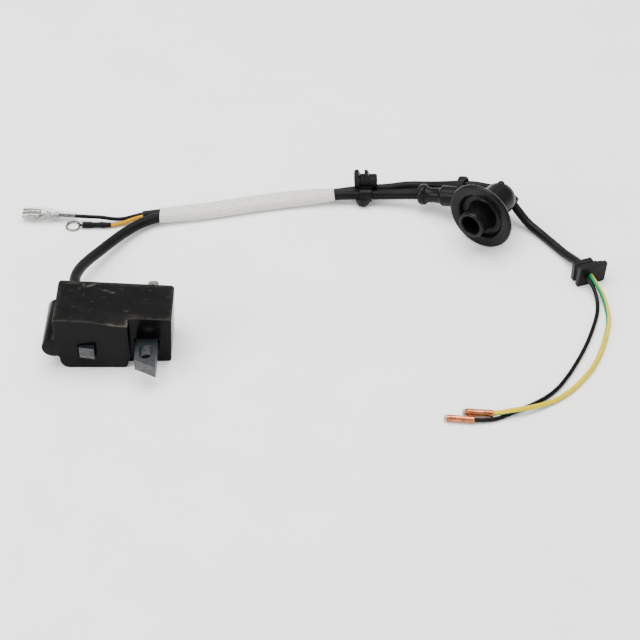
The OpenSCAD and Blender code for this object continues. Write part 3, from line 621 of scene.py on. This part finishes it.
def pushed(bm, faces, vec):
    grown = bmesh.ops.extrude_face_region(bm, geom=faces)["geom"]
    bmesh.ops.translate(bm, vec=vec, verts=[v for v in grown if isinstance(v, bmesh.types.BMVert)])
    return [f for f in grown if isinstance(f, bmesh.types.BMFace)]


def upright(outline, y, bm, known):
    """Face standing at y from an outline in XZ; corners that are already there are shared."""
    verts = []
    for x, z in outline:
        key = (round(x, 3), round(z, 3))
        if key not in known:
            known[key] = bm.verts.new((x, y, z))
        verts.append(known[key])
    return bm.faces.new(verts)


def case_body():
    """The case's outside: the main part with its rib and rounded heel, and the part behind the step."""
    side = [(29.5, 0), (30.3, 0.25), (30.75, 0.9), (STEP_X, 6.5), (STEP_X, rim_z(STEP_X))]
    heel = [(0.5, 6.85), (0.9, 6.4), (1.1, 5.6), (1.15, 4.6), (1.3, 3.4), (1.7, 2.3), (2.3, 1.3), (3.1, 0.55),
            (4.0, 0.15), (4.8, 0)]
    rib = circle(-1.3, 11.9, 5.0, 24, 74.9, 285.1)
    main = side + [(0, rim_z(0))] + rib + heel
    step = [(29.5, 0), (48.6, 0), (49.4, 0.2), (49.95, 0.75), (50.1, 1.6), (CASE_W, rim_z(CASE_W))] + side[:0:-1]
    bm, known = bmesh.new(), {}
    faces = [upright(outline, STEP_D, bm, known) for outline in (main, step)]
    pushed(bm, faces, (0, CASE_D - STEP_D, 0))
    pushed(bm, faces[:1], (0, -STEP_D, 0))
    inner = [f for f in bm.faces if all(abs(v.co.y - STEP_D) < 0.01 for v in f.verts)
             and f.calc_center_median().x < 25]
    bmesh.ops.delete(bm, geom=inner, context="FACES_ONLY")
    bmesh.ops.recalc_face_normals(bm, faces=bm.faces)
    bmesh.ops.dissolve_limit(bm, angle_limit=math.radians(0.3), verts=bm.verts, edges=bm.edges)
    return object_from("case_shell", bm, Matrix.Identity(4))


def back_corners():
    """What is cut away to round the back corners; the right one leans out with its wall."""
    bend = circle(1.8, CASE_D - 1.8, 1.8, 8, 90, 180)
    left = plate([(-0.5, CASE_D - 1.8), (-0.5, CASE_D + 0.5), (1.8, CASE_D + 0.5)] + bend, 20)
    right = moved(plate([(-x, y) for x, y in bend[::-1]] + [(-1.8, CASE_D + 0.5), (0.5, CASE_D + 0.5),
                                                          (0.5, CASE_D - 1.8)], 32), shift(0, 0, -1))
    for vert in right.verts:
        vert.co.x += CASE_W - 1.4 * (25 - vert.co.z) / 23.4
    return [moved(left, shift(0, 0, 17.4)), right]


def inside(gap):
    """Outline of the case's inner wall, a distance in from the outer one."""
    r = max(0.6, 1.8 - gap)
    right, back = CASE_W - gap - r, CASE_D - gap - r
    return ([(gap, gap), (STEP_X - gap, gap), (STEP_X - gap, STEP_D + gap), (CASE_W - gap, STEP_D + gap)]
            + circle(right, back, r, 6, 0, 90) + circle(gap + r, back, r, 6, 90, 180))


def sliced(bm, place, normal):
    bmesh.ops.bisect_plane(bm, geom=bm.verts[:] + bm.edges[:] + bm.faces[:], dist=1e-4, plane_co=place, plane_no=normal)


def narrowed(gap, height):
    """Box a gap in from the case's outside all round, which narrows to its floor as the walls do."""
    box = moved(plate(inside(gap), height), shift(0, 0, gap))
    sliced(box, (0, 0, 8), (0, 0, 1))
    for vert in box.verts:
        if vert.co.z < gap + 0.1:
            left, notch, right = vert.co.x < 4, 28 < vert.co.x < 33 and vert.co.y < 7, vert.co.x > 48
            vert.co.x += 2.9 * left - 2.6 * notch - 1.7 * right
    return box


def room():
    """The room inside: a shallow lip that follows the rim, and the box below it."""
    lip = plate(inside(0.55), 1.0)
    for vert in lip.verts:
        vert.co.z = rim_z(vert.co.x) + (2.0 if vert.co.z > 0.5 else -0.9)
    return [lip, narrowed(WALL, 30.0)]


def store_dust_and_highlight(made, level):
    """Stores where dust, rubbed resin and painted highlight lie, from 0 to 1, by a point in the module's millimetres.
    """
    layer = made.data.attributes.new("dust", "FLOAT", "POINT")
    back = MODULE.inverted()
    layer.data.foreach_set("value", [level(*(back @ v.co)) for v in made.data.vertices])


def windows():
    """Pockets round the pole and the leg, and the holes for the lead and the tab."""
    top = CORE_Z + CORE_T
    hole = spun([(0, -9), (3.3, -9), (3.3, 2), (0, 2)], 32)
    return [
        block((POLE_MID - POLE_W / 2 - 0.5, -1, CORE_Z - 0.35), (POLE_MID + POLE_W / 2 + 0.4, 1.2, top + 0.7), 0),
        block((LEG_MID - LEG_W / 2 - 0.6, 3, CORE_Z - 0.35), (LEG_MID + LEG_W / 2 + 0.4, 5.2, top + 0.6), 0),
        moved(hole, shift(5.6, CASE_D, 14) @ turn(-90, "X")),
        block((38.9, 24, 21.2), (44.1, 29, 22.35), 0),
    ]


def drooped(made):
    """Cuts the walls into strips below the rim and along it, then lets the rim sink towards the step."""
    bm = bmesh.new()
    bm.from_mesh(made.data)
    for fall in (0.4, 0.85, 1.6, 3.0):
        sliced(bm, (0, 0, CASE_H - fall), (RIM_FALL / CASE_W, 0, 1))
    for k in range(1, 25):
        sliced(bm, (k * 2.1, 0, 0), (1, 0, 0))
    for vert in bm.verts:
        near_rim = ease((vert.co.z - (rim_z(vert.co.x) - 3)) / 3)
        vert.co.z -= near_rim * droop(vert.co.x, vert.co.y)
    bm.to_mesh(made.data)
    bm.free()


case = cleaned(carved(case_body(), back_corners() + room() + windows()))
rounding = case.modifiers.new("edges", "BEVEL")
rounding.width, rounding.segments, rounding.limit_method, rounding.angle_limit = 0.25, 3, "ANGLE", math.radians(38)
rounding.use_clamp_overlap = False
baked(case)
drooped(case)
case.data.transform(MODULE)
settled(case, [case_plastic], ["coil_case"], smooth=32)


# Dust along the rim top, with a painted highlight along the left rim edge towards the front.
def rim_dust_and_painted_highlight(x, y, z):
    level = ease((z - (rim_z(x) - droop(x, y) - 0.45)) / 0.4)
    by_step = ease((x - 20) / 8) * (1 - ease((x - 32) / 2)) * (1 - ease((y - 1) / 2))
    # Painted highlight: the left rim edge towards the front gets a paler tint for the light it catches.
    painted_highlight_left_rim = 0.5 * (1 - ease(x / 1.5)) * (1 - ease((y - 10) / 8))
    share = 0.22 + 0.78 * max(by_step, painted_highlight_left_rim)
    return level * share * (0.75 + 0.6 * noise.noise(Vector((x * 0.5, y * 0.5, 9))))


store_dust_and_highlight(case, rim_dust_and_painted_highlight)

SKIN, FACE_FOOT = inside(0.5), 20.5
# Rubbed marks on the potting: middle x and y, half sizes, angle, strength.
MARKS = [(14.5, 24.6, 2.2, 0.35, 25, 0.9), (11.3, 24.8, 0.8, 0.4, -60, 0.8), (21.5, 21.6, 2.4, 0.3, -12, 0.6),
         (24.5, 20.3, 1.6, 0.25, 8, 0.45), (7.0, 25.6, 2.6, 0.3, 0, 0.8), (12.0, 18.5, 0.3, 0.3, 0, 0.7),
         (9.5, 22.5, 0.35, 0.3, 0, 0.6), (35.0, 6.0, 2.4, 0.3, 0, 0.5), (41.0, 23.0, 0.5, 0.4, 20, 0.3)]


def from_wall(x, y):
    """Distance from the nearest wall of the potting's outline."""
    best = 99.0
    for a, b in zip(SKIN, SKIN[1:] + SKIN[:1]):
        foot, _ = geometry.intersect_point_line(Vector((x, y, 0)), Vector((*a, 0)), Vector((*b, 0)))
        low, high = sorted((a[0], b[0])), sorted((a[1], b[1]))
        foot = (min(max(foot.x, low[0]), low[1]), min(max(foot.y, high[0]), high[1]))
        best = min(best, math.hypot(x - foot[0], y - foot[1]))
    return best


def potting():
    """The compound that fills the case, with its sunken, rippled face."""
    bm = plate(SKIN, 1.0)
    for k in range(1, int(CASE_W / 0.7)):
        sliced(bm, (k * 0.7, 0, 0), (1, 0, 0))
    for k in range(1, int(CASE_D / 0.7)):
        sliced(bm, (0, k * 0.7, 0), (0, 1, 0))
    for vert in bm.verts:
        x, y, _ = vert.co
        if vert.co.z < 0.5:
            vert.co.z = FACE_FOOT
            continue
        climb = 0.22 * math.exp(-from_wall(x, y) / 0.6)
        ripple = 0.07 * noise.noise(Vector((x * 0.25, y * 0.25, 1))) + 0.03 * noise.noise(Vector((x * 1.1, y * 1.1, 5)))
        vert.co.z = rim_z(x) - droop(x, y) - 0.24 + climb + ripple
    return joined(bm, narrowed(WALL + 0.05, FACE_FOOT - WALL))


def mark_level(x, y):
    level = 0.0
    for mx, my, rx, ry, angle, strength in MARKS:
        c, s = math.cos(math.radians(angle)), math.sin(math.radians(angle))
        u, v = ((x - mx) * c + (y - my) * s) / rx, ((y - my) * c - (x - mx) * s) / ry
        level = max(level, strength * math.exp(-(u * u + v * v)))
    return level


def skin_dust(x, y, z):
    patchy = 0.5 + 0.8 * noise.noise(Vector((x * 0.35, y * 0.35, 2)))
    near_step = 0.45 + 0.55 * ease((x - 20) / 8) * (1 - ease((x - 32) / 2)) * (1 - ease((y - 2) / 3))
    edge = math.exp(-from_wall(x, y) / 0.55) * max(0.0, patchy) * near_step
    return min(1.0, max(edge, mark_level(x, y)))


skin = piece("potting_fill", potting(), MODULE, [potting_epoxy], ["potting_compound"], smooth=60)
store_dust_and_highlight(skin, skin_dust)


# ---- Core, tab and seal ----

ARC_X, FLYWHEEL_R = POLE_MID - 17.1, 90.0
ARC_Y = -1.9 - math.sqrt(FLYWHEEL_R ** 2 - 17.1 ** 2)
SLOT_Y, SLOT_W, SLOT_L = -3.9, 5.7, 8.5
SHEETS = 12


def pole_arc(x0, x1, n=8):
    xs = [x0 + (x1 - x0) * k / (n - 1) for k in range(n)]
    return [(x, ARC_Y + math.sqrt(FLYWHEEL_R ** 2 - (x - ARC_X) ** 2)) for x in xs]


def core_sheet(thick):
    """One lamination: a U of sheet steel with the mounting slot punched in its right leg."""
    half = (SLOT_L - SLOT_W) / 2
    left, right = POLE_MID - POLE_W / 2, LEG_MID + LEG_W / 2
    outer = (pole_arc(left, POLE_MID + POLE_W / 2) + [(POLE_MID + POLE_W / 2, 17.0), (LEG_MID - LEG_W / 2, 17.0)]
             + pole_arc(LEG_MID - LEG_W / 2, right) + [(right, 24.0), (left, 24.0)])
    slot = (circle(LEG_MID, SLOT_Y + half, SLOT_W / 2, 14, 0, 180)
            + circle(LEG_MID, SLOT_Y - half, SLOT_W / 2, 14, 180, 360))
    bm = bmesh.new()
    edges = []
    for outline in (outer, slot):
        verts = [bm.verts.new((x, y, 0)) for x, y in outline]
        edges += [bm.edges.new(pair) for pair in zip(verts, verts[1:] + verts[:1])]
    bmesh.ops.triangle_fill(bm, edges=edges, use_beauty=True, use_dissolve=False)
    pushed(bm, bm.faces[:], (0, 0, thick))
    bmesh.ops.recalc_face_normals(bm, faces=bm.faces)
    return soften(bm, corners(bm, 60), 0.045, 1)


def core():
    """The stack, with each sheet a hair out of line, and the sheet edges given the ground finish."""
    thick = CORE_T / SHEETS
    wander = random.Random(7)
    sheets = [moved(core_sheet(thick - 0.008), shift(wander.uniform(-0.02, 0.02), wander.uniform(-0.012, 0.012),
                                                     CORE_Z + k * thick)) for k in range(SHEETS)]
    bm = joined(*sheets)
    for face in bm.faces:
        face.material_index = 1 if abs(face.normal.z) < 0.5 and face.normal.y < -0.6 else 0
    return bm


core_piece = piece("lamination_stack", core(), MODULE, [sheet_oxide, ground_steel],
                   ["core_stack"], smooth=30)


def tab():
    blade = plate([(39.1, 20.5), (43.9, 20.5), (43.9, 32.1), (42.8, 33.2), (40.2, 33.2), (39.1, 32.1)], 0.8, 0.16, 2)
    return moved(blade, shift(0, 0, 21.369))


tab_piece = carved(object_from("stop_blade", tab(), Matrix.Identity(4)),
                   [moved(spun([(0, -1), (0.75, -1), (0.75, 2), (0, 2)], 20), shift(41.5, 30.2, 21.3))])
tab_piece.data.transform(MODULE)
settled(tab_piece, [terminal_tin], ["stop_tab"])

seal = spun([(2.56, -1.7), (3.2, -1.7), (3.2, 0.0), (4.3, 0.02), (4.4, 0.2), (4.38, 0.8), (3.95, 1.05), (3.9, 1.45),
             (4.15, 1.7), (4.1, 2.1), (3.72, 2.35), (3.68, 2.7), (3.9, 2.95), (3.85, 3.3), (3.5, 3.9), (3.2, 4.0),
             (2.6, 4.0)], 40, closed=True)
piece("lead_seal_boot", seal, MODULE @ shift(5.6, CASE_D, 14) @ turn(-90, "X"), [seal_rubber],
      ["lead_seal"])


# ---- Plug boot ----

def arc_profile(r, first, last, n, z=0.0):
    """(radius, height) points on an arc about the axis."""
    return [(max(0.0, r * math.cos(a)), z + r * math.sin(a))
            for a in (math.radians(first + (last - first) * k / (n - 1)) for k in range(n))]


def boot_mouth():
    """Elbow end, flange with its dish, and the tube that the spark plug goes into."""
    return spun(arc_profile(8.0, -90, 0, 14) + [
        (8.0, 9.3), (8.5, 10.4), (10.0, 11.6), (13.0, 12.9), (16.0, 14.2), (16.9, 15.3), (17.0, 16.2), (16.6, 17.0),
        (15.9, 17.2), (12.4, 16.9), (11.7, 16.3), (11.2, 14.6), (10.2, 13.6), (8.4, 13.3), (7.3, 13.9), (6.8, 15.4),
        (6.6, 24.2), (6.3, 24.9), (5.4, 25.0), (4.9, 24.7), (4.8, 24.0), (4.8, 15.0), (4.4, 14.6), (4.4, -2.5),
        (0.0, -2.5)], 96)


def boot_barrel():
    """Lead barrel: wide, then waisted, with a rolled rib at its mouth."""
    return spun([
        (0.0, -1.0), (5.1, -1.0), (5.1, 28.6), (4.9, 29.1), (4.25, 29.4), (4.05, 29.9), (3.85, 31.5), (3.65, 33.5),
        (3.7, 35.5), (4.0, 37.0), (4.8, 37.6), (5.15, 38.3), (5.2, 39.4), (5.0, 40.4), (4.4, 41.0), (3.3, 41.0),
        (2.95, 40.6), (2.9, 39.6), (0.0, 39.4)], 64)


def ring_shape(outer, inner, width, edge=0.4):
    """Band with soft edges, its axis along Z."""
    h = width / 2
    return spun([(inner, -h + edge), (inner + edge, -h), (outer - edge, -h), (outer, -h + edge), (outer, h - edge),
                 (outer - edge, h), (inner + edge, h), (inner, h - edge)], 48, closed=True)


def boot():
    elbow = shift(196.9, 71, 17)
    barrel = elbow @ aim(157.5, 13)
    guide = shift(203.8, 77.8, 9.9) @ aim(-43, 24.5)
    hook = barrel @ shift(-2.2, -7, 20.5)
    bump = spun([(0, 0), (1.5, 0), (1.5, 0.9), (1.2, 1.4), (0.6, 1.65), (0, 1.7)], 24)
    return joined(
        moved(boot_mouth(), elbow @ aim(233.1)),
        moved(boot_barrel(), barrel),
        moved(ring_shape(4.2, 3.0, 4.0), hook),
        moved(block((-1.6, 1.5, -2), (2.0, 4.6, 2), 0.3), hook),
        moved(ring_shape(3.95, 2.7, 4.0), guide),
        moved(spun([(0, 0), (2, 0), (2, 4), (0, 4)], 24), elbow @ aim(44.6, 36.3) @ shift(0, 0, 5)),
        moved(bump, elbow @ aim(75, -62) @ shift(0, 0, 7.4)),
    )


boot_piece = object_from("plug_boot_body", boot(), Matrix.Identity(4))
melt = boot_piece.modifiers.new("melt", "REMESH")
melt.mode, melt.voxel_size, melt.use_smooth_shade = "VOXEL", 0.4, True
ease_off = boot_piece.modifiers.new("ease", "SMOOTH")
ease_off.factor, ease_off.iterations = 0.5, 5
baked(boot_piece)
boot_piece.data.transform(BENCH)
settled(boot_piece, [boot_rubber], ["plug_boot"], smooth=180)

coil_line = [(3.7 * math.cos(2 * math.pi * k / 16), 3.7 * math.sin(2 * math.pi * k / 16), 3 + 2.3 * k / 16)
             for k in range(16 * 4 + 1)]
spring_piece = settled(tube_mesh(smooth_curve("contact_spring", coil_line, 0.9, TUBE, sides=3, steps=2)),
                       [spring_steel], ["plug_spring"], smooth=60)


# ---- Clip ----

def clip():
    """Snap clip: a saddle round the lead and the cable, a post with two fins and a peg below."""
    lead_band = moved(ring_shape(LEAD_D / 2 + 1.0, LEAD_D / 2 + 0.03, 6.2), turn(90, "Y"))
    cable_band = moved(ring_shape(CABLE_D / 2 + 1.0, CABLE_D / 2 + 0.05, 6.2), shift(0, 5.2, -0.6) @ turn(90, "Y"))
    post = block((-3.8, 2.0, 1.4), (5.7, 7.0, 8.1), 0.7)
    hook = plate([(-0.7, 0), (2.6, 0), (1.0, 3.5), (-0.5, 3.6)], 4.6, 0.25, 2)
    fin = plate([(-0.9, 0), (1.6, 0), (2.2, 5.6), (0.9, 8.3), (-0.7, 8.4), (-1.4, 7.0)], 5.4, 0.28, 2)
    peg = spun([(0, 0), (2.2, 0.05), (2.9, 0.5), (3.05, 1.4), (3.3, 1.7), (3.5, 4.4), (0, 4.4)], 32)
    return [
        lead_band, cable_band, post,
        moved(fin, shift(-4.5, 7.2, 2.0) @ turn(90, "X")),
        moved(hook, shift(-0.1, 6.8, 7.0) @ turn(90, "X")),
        moved(peg, shift(-1.4, -1.2, -4.9)),
    ]


clip_piece = object_from("cable_snap_clip", joined(*clip()), Matrix.Identity(4))
melt = clip_piece.modifiers.new("melt", "REMESH")
melt.mode, melt.voxel_size, melt.use_smooth_shade = "VOXEL", 0.16, True
ease_off = clip_piece.modifiers.new("ease", "SMOOTH")
ease_off.factor, ease_off.iterations = 0.5, 3
baked(clip_piece)
clip_piece.data.transform(CLIP)
settled(clip_piece, [clip_nylon], ["cable_clip"], smooth=180)


# ---- Grommet ----

def grommet():
    """Panel grommet: face plate, stepped neck with the panel groove, and back plate."""
    face = moved(plate([(0.2, 0), (13.6, 0), (14.3, 1.0), (14.9, 10.7), (1.1, 10.7), (0, 0.4)], 2.4, 0.3, 3),
                 shift(0, 2.4, 0) @ turn(90, "X"))
    return [
        face,
        block((0.9, 2.2, 0.9), (11.3, 4.6, 9.8), 0.2),
        block((2.0, 2.2, 0.6), (13.2, 3.6, 10.2), 0.2),
        block((0.0, 4.3, 0.2), (9.6, 7.1, 10.3), 0.25),
        moved(spun([(0, 0), (3.0, 0), (2.9, 0.9), (2.55, 1.3), (0, 1.3)], 40), shift(5.3, 6.9, 5.2) @ turn(-90, "X")),
    ]


grommet_piece = object_from("panel_grommet", joined(*grommet()), Matrix.Identity(4))
melt = grommet_piece.modifiers.new("melt", "REMESH")
melt.mode, melt.voxel_size, melt.use_smooth_shade = "VOXEL", 0.18, True
ease_off = grommet_piece.modifiers.new("ease", "SMOOTH")
ease_off.factor, ease_off.iterations = 0.5, 2
baked(grommet_piece)
grommet_piece.data.transform(GROMMET)
settled(grommet_piece, [grommet_rubber], ["cable_grommet"], smooth=180)


# ---- Ferrules and strands ----

def crimped_tube(length, seed):
    """Drawn tube closed on its wire: faint flats along it and a rolled rim."""
    bm = spun([(1.22, 0.1), (1.3, 0.0), (1.52, 0.0), (1.6, 0.12), (1.6, 3.0), (1.58, 6.0), (1.6, length - 0.12),
               (1.52, length), (1.3, length), (1.22, length - 0.1)], 36, closed=True)
    bmesh.ops.subdivide_edges(bm, edges=[e for e in bm.edges if abs(e.verts[0].co.z - e.verts[1].co.z) > 1], cuts=5)
    for vert in bm.verts:
        a = math.atan2(vert.co.y, vert.co.x)
        r = math.hypot(vert.co.x, vert.co.y)
        flat = 0.035 * abs(math.cos(3 * a + seed)) + 0.03 * noise.noise(Vector((a, vert.co.z * 0.35, seed)))
        squeeze = 1 - max(0.0, flat) * ease((vert.co.z - 0.3) / 2) / r
        vert.co.x, vert.co.y = vert.co.x * squeeze, vert.co.y * squeeze
    return bm


def strand_bundle(seed):
    """Nineteen tinned strands, uneven at their cut ends, with solder between them."""
    pick = random.Random(seed)
    rods = [spun([(0, 3.2), (0.98, 3.2), (0.98, 12.7), (0.7, 12.85), (0, 12.9)], 20)]
    for ring, count in ((0, 1), (0.46, 6), (0.88, 12)):
        for k in range(count):
            a = 2 * math.pi * (k + 0.3 * seed) / count
            tip = 13.15 + pick.uniform(-0.25, 0.12)
            rod = spun([(0, 11), (0.215, 11), (0.215, tip - 0.1), (0.12, tip), (0, tip)], 8)
            rods.append(moved(rod, shift(ring * math.cos(a), ring * math.sin(a), 0)))
    return joined(*rods)


for name, at, seed in (("black", BLACK_END, 1), ("striped", STRIPED_END, 2)):
    piece(name + "_crimp", crimped_tube(12.0, seed), at, [ferrule_copper], [name + "_ferrule"])
    piece(name + "_wire_end", strand_bundle(seed), at, [tinned_strands], [name + "_strands"])


# ---- Spade terminal and its cover ----

def ribbon(path, thick):
    """Outline of a bent strip from its middle line."""
    sides = ([], [])
    for i, point in enumerate(path):
        along = (Vector(path[min(i + 1, len(path) - 1)]) - Vector(path[max(i - 1, 0)])).normalized()
        for side, sign in zip(sides, (1, -1)):
            side.append((point[0] - sign * along.y * thick / 2, point[1] + sign * along.x * thick / 2))
    return sides[0] + sides[1][::-1]


def mirrored(path):
    return [(x, -y) for x, y in path[::-1]] + path


def rolled_box():
    side = [(1.1, 1.2), (1.1, 2.0), (0.95, 2.45), (0.6, 2.68), (0.0, 2.7), (-0.6, 2.6), (-0.95, 2.3), (-1.08, 1.8),
            (-1.1, 1.1), (-1.0, 0.6), (-0.75, 0.32), (-0.45, 0.3)]
    return moved(plate(ribbon(mirrored([(1.1, 0.5)] + side), 0.38), 8.4, 0.06, 1), shift(0, 0, -18))


def crimp(r, length, curl):
    """Open barrel with its wings rolled back into the wire."""
    wing = [(x, y) for x, y in circle(0, 0, r, 16, 0, 168)]
    tip = [(-r + 0.25, 0.16), (-r + 0.25 + curl, 0.2)]
    return plate(ribbon(mirrored([(r, 0.0)] + wing[1:] + tip)[1:], 0.36), length, 0.05, 1)


def spade():
    neck = [(0.9, -1.7, -9.7), (1.3, 1.7, -6.9)]
    return joined(
        rolled_box(),
        block(*neck, 0.08, 2),
        moved(crimp(1.2, 2.9, 0.5), shift(0, 0, -7)),
        block((0.95, -0.85, -4.2), (1.35, 0.85, -2.8), 0.08, 2),
        moved(crimp(1.24, 2.9, 0.3), shift(0, 0, -2.9)),
        moved(spun([(0, 0), (0.85, 0), (0.95, 0.2), (0.95, 2.4), (0.8, 2.6), (0, 2.6)], 20), shift(0, 0, -6.9)),
    )


spade_piece = piece("spade_receptacle", spade(), SPADE, [terminal_tin], ["spade_terminal"])


def stadium(width, height, n=32):
    """Flat-sided outline, as (x, y) with the width along Y; round when both are the same."""
    ring = []
    for k in range(n):
        a = 2 * math.pi * k / n
        flat = (width - height) / 2 * (1 if math.sin(a) > 0 else -1) * min(1.0, abs(math.sin(a)) * 3)
        ring.append((height / 2 * math.cos(a), flat + height / 2 * math.sin(a)))
    return ring


def cover():
    """Clear cover: a flat pocket over the spade that necks down to a tube on the wire."""
    stations = [(-15.4, 7.5, 4.5), (-15.1, 7.6, 4.6), (-11, 7.55, 4.55), (-7, 7.6, 4.6), (-4.6, 7.4, 4.55),
                (-3.2, 6.6, 4.45), (-2.0, 5.3, 4.4), (-1.0, 4.6, 4.3), (0.5, 4.4, 4.2), (2.4, 4.25, 4.05),
                (3.2, 3.9, 3.8), (6.0, 3.8, 3.75), (8.0, 3.8, 3.8), (8.2, 3.7, 3.7)]
    outer = [[Vector((x, y, z)) for x, y in stadium(w, h)] for z, w, h in stations]
    inner = [[Vector((x, y, z)) for x, y in stadium(w - 0.6, h - 0.6)] for z, w, h in stations]
    return loft(outer + inner[::-1] + outer[:1], 1, 1)


cover_piece = piece("clear_cover", cover(), SPADE, [clear_vinyl], ["spade_cover"], "cover", 60)


# ---- Ring terminal and shrink tube ----

def ring_terminal():
    eye = spun([(2.6, 0.12), (2.72, 0.0), (3.68, 0.0), (3.8, 0.12), (3.8, 0.68), (3.68, 0.8), (2.72, 0.8),
                (2.6, 0.68)], 48, closed=True)
    neck = plate([(3.0, -1.5), (4.6, -1.25), (4.65, 1.25), (3.0, 1.5)], 0.8, 0.1, 2)
    barrel = spun([(0.98, 1.2), (1.35, 1.2), (1.35, 5.0), (0.98, 5.0)], 24, closed=True)
    toe = spun([(0, 0.6), (0.9, 0.6), (1.3, 0.9), (1.35, 1.3), (0, 1.3)], 24)
    at = RING.inverted() @ SHRINK
    return joined(eye, neck, moved(barrel, at), moved(toe, at))


piece("ring_tongue", ring_terminal(), RING, [terminal_tin], ["ring_terminal"])


def shrink():
    """Tube shrunk on unevenly: tight on the wire, fuller over the barrel, with a wrinkle between."""
    shape = [(0.8, 1.42), (1.2, 1.56), (3.0, 1.58), (4.8, 1.57), (5.8, 1.36), (7.4, 1.27), (8.8, 1.32), (9.8, 1.55),
             (10.8, 1.57), (11.8, 1.34), (13.2, 1.22), (14.6, 1.2), (14.8, 1.1)]
    rings = []
    for z, r in shape:
        ring = []
        for x, y in circle(0, 0, 1, 28):
            wrinkle = 0.05 * noise.noise(Vector((x * 1.3, y * 1.3, z * 0.9)))
            ring.append(Vector((x * (r + wrinkle), y * (r + wrinkle), z)))
        rings.append(ring)
    inner = [[Vector((x * 1.0, y * 1.0, z)) for x, y in circle(0, 0, 1, 28)] for z in (14.8, 6.0)]
    mouth = [[Vector((x * 1.37, y * 1.37, z)) for x, y in circle(0, 0, 1, 28)] for z in (5.7, 0.8)]
    return loft(rings + inner + mouth + rings[:1])


piece("shrink_sleeve", shrink(), SHRINK, [shrink_tube], ["ring_shrink"], smooth=60)


# ---- Pieces kept from the CAD ----

KEPT = {
    "core_rivets": rivet_steel, "primary_bobbin": bobbin_nylon,
    "primary_winding": winding_copper, "secondary_bobbin": bobbin_nylon, "secondary_winding": winding_copper,
    "charge_bobbin": bobbin_nylon, "charge_winding": winding_copper, "circuit_board": board_laminate,
    "charge_capacitor": capacitor_film, "thyristor": part_epoxy, "board_diodes": part_epoxy,
    "board_resistors": resistor_lacquer, "lead_spike": contact_brass, "earth_strap": tinned_strip,
    "boot_pin": contact_brass,
}
for node, finish in KEPT.items():
    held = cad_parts[node]
    held.data.materials.clear()
    held.data.materials.append(finish)


# ---- Floor and lights ----

def lamp(name, place, size, power, colour=(1, 1, 1)):
    light = bpy.data.lights.new(name, "AREA")
    light.shape, light.size, light.size_y = "RECTANGLE", size[0], size[1]
    light.energy, light.color = power, colour
    made = bpy.data.objects.new(name, light)
    made.location = place
    made.rotation_euler = (target - Vector(place)).to_track_quat("-Z", "Y").to_euler()
    bpy.context.scene.collection.objects.link(made)


floor_mesh = bpy.data.meshes.new("floor")
ground = bmesh.new()
bmesh.ops.create_grid(ground, x_segments=1, y_segments=1, size=3.0)
ground.to_mesh(floor_mesh)
ground.free()
floor = bpy.data.objects.new("floor", floor_mesh)
bpy.context.scene.collection.objects.link(floor)
paper, tree, shader = finish_with("white_card", 0.9)
tree.links.new(tint(tree, spread(tree, grains(tree, 40.0), 0.3, 0.7), "f4f4f3", "f9f9f8"), shader.inputs["Base Color"])
floor.data.materials.append(paper)

world = bpy.data.worlds.new("studio")
world.use_nodes = True
world.node_tree.nodes["Background"].inputs["Color"].default_value = (1, 1, 1, 1)
world.node_tree.nodes["Background"].inputs["Strength"].default_value = 0.95
bpy.context.scene.world = world
lamp("softbox_above", (0.0, 0.25, 1.1), (1.2, 0.9), 26)
lamp("softbox_left", (-0.9, -0.35, 0.6), (0.7, 0.7), 11)
lamp("fill_front", (0.5, -1.0, 0.5), (0.8, 0.5), 5)

bpy.context.view_layer.update()
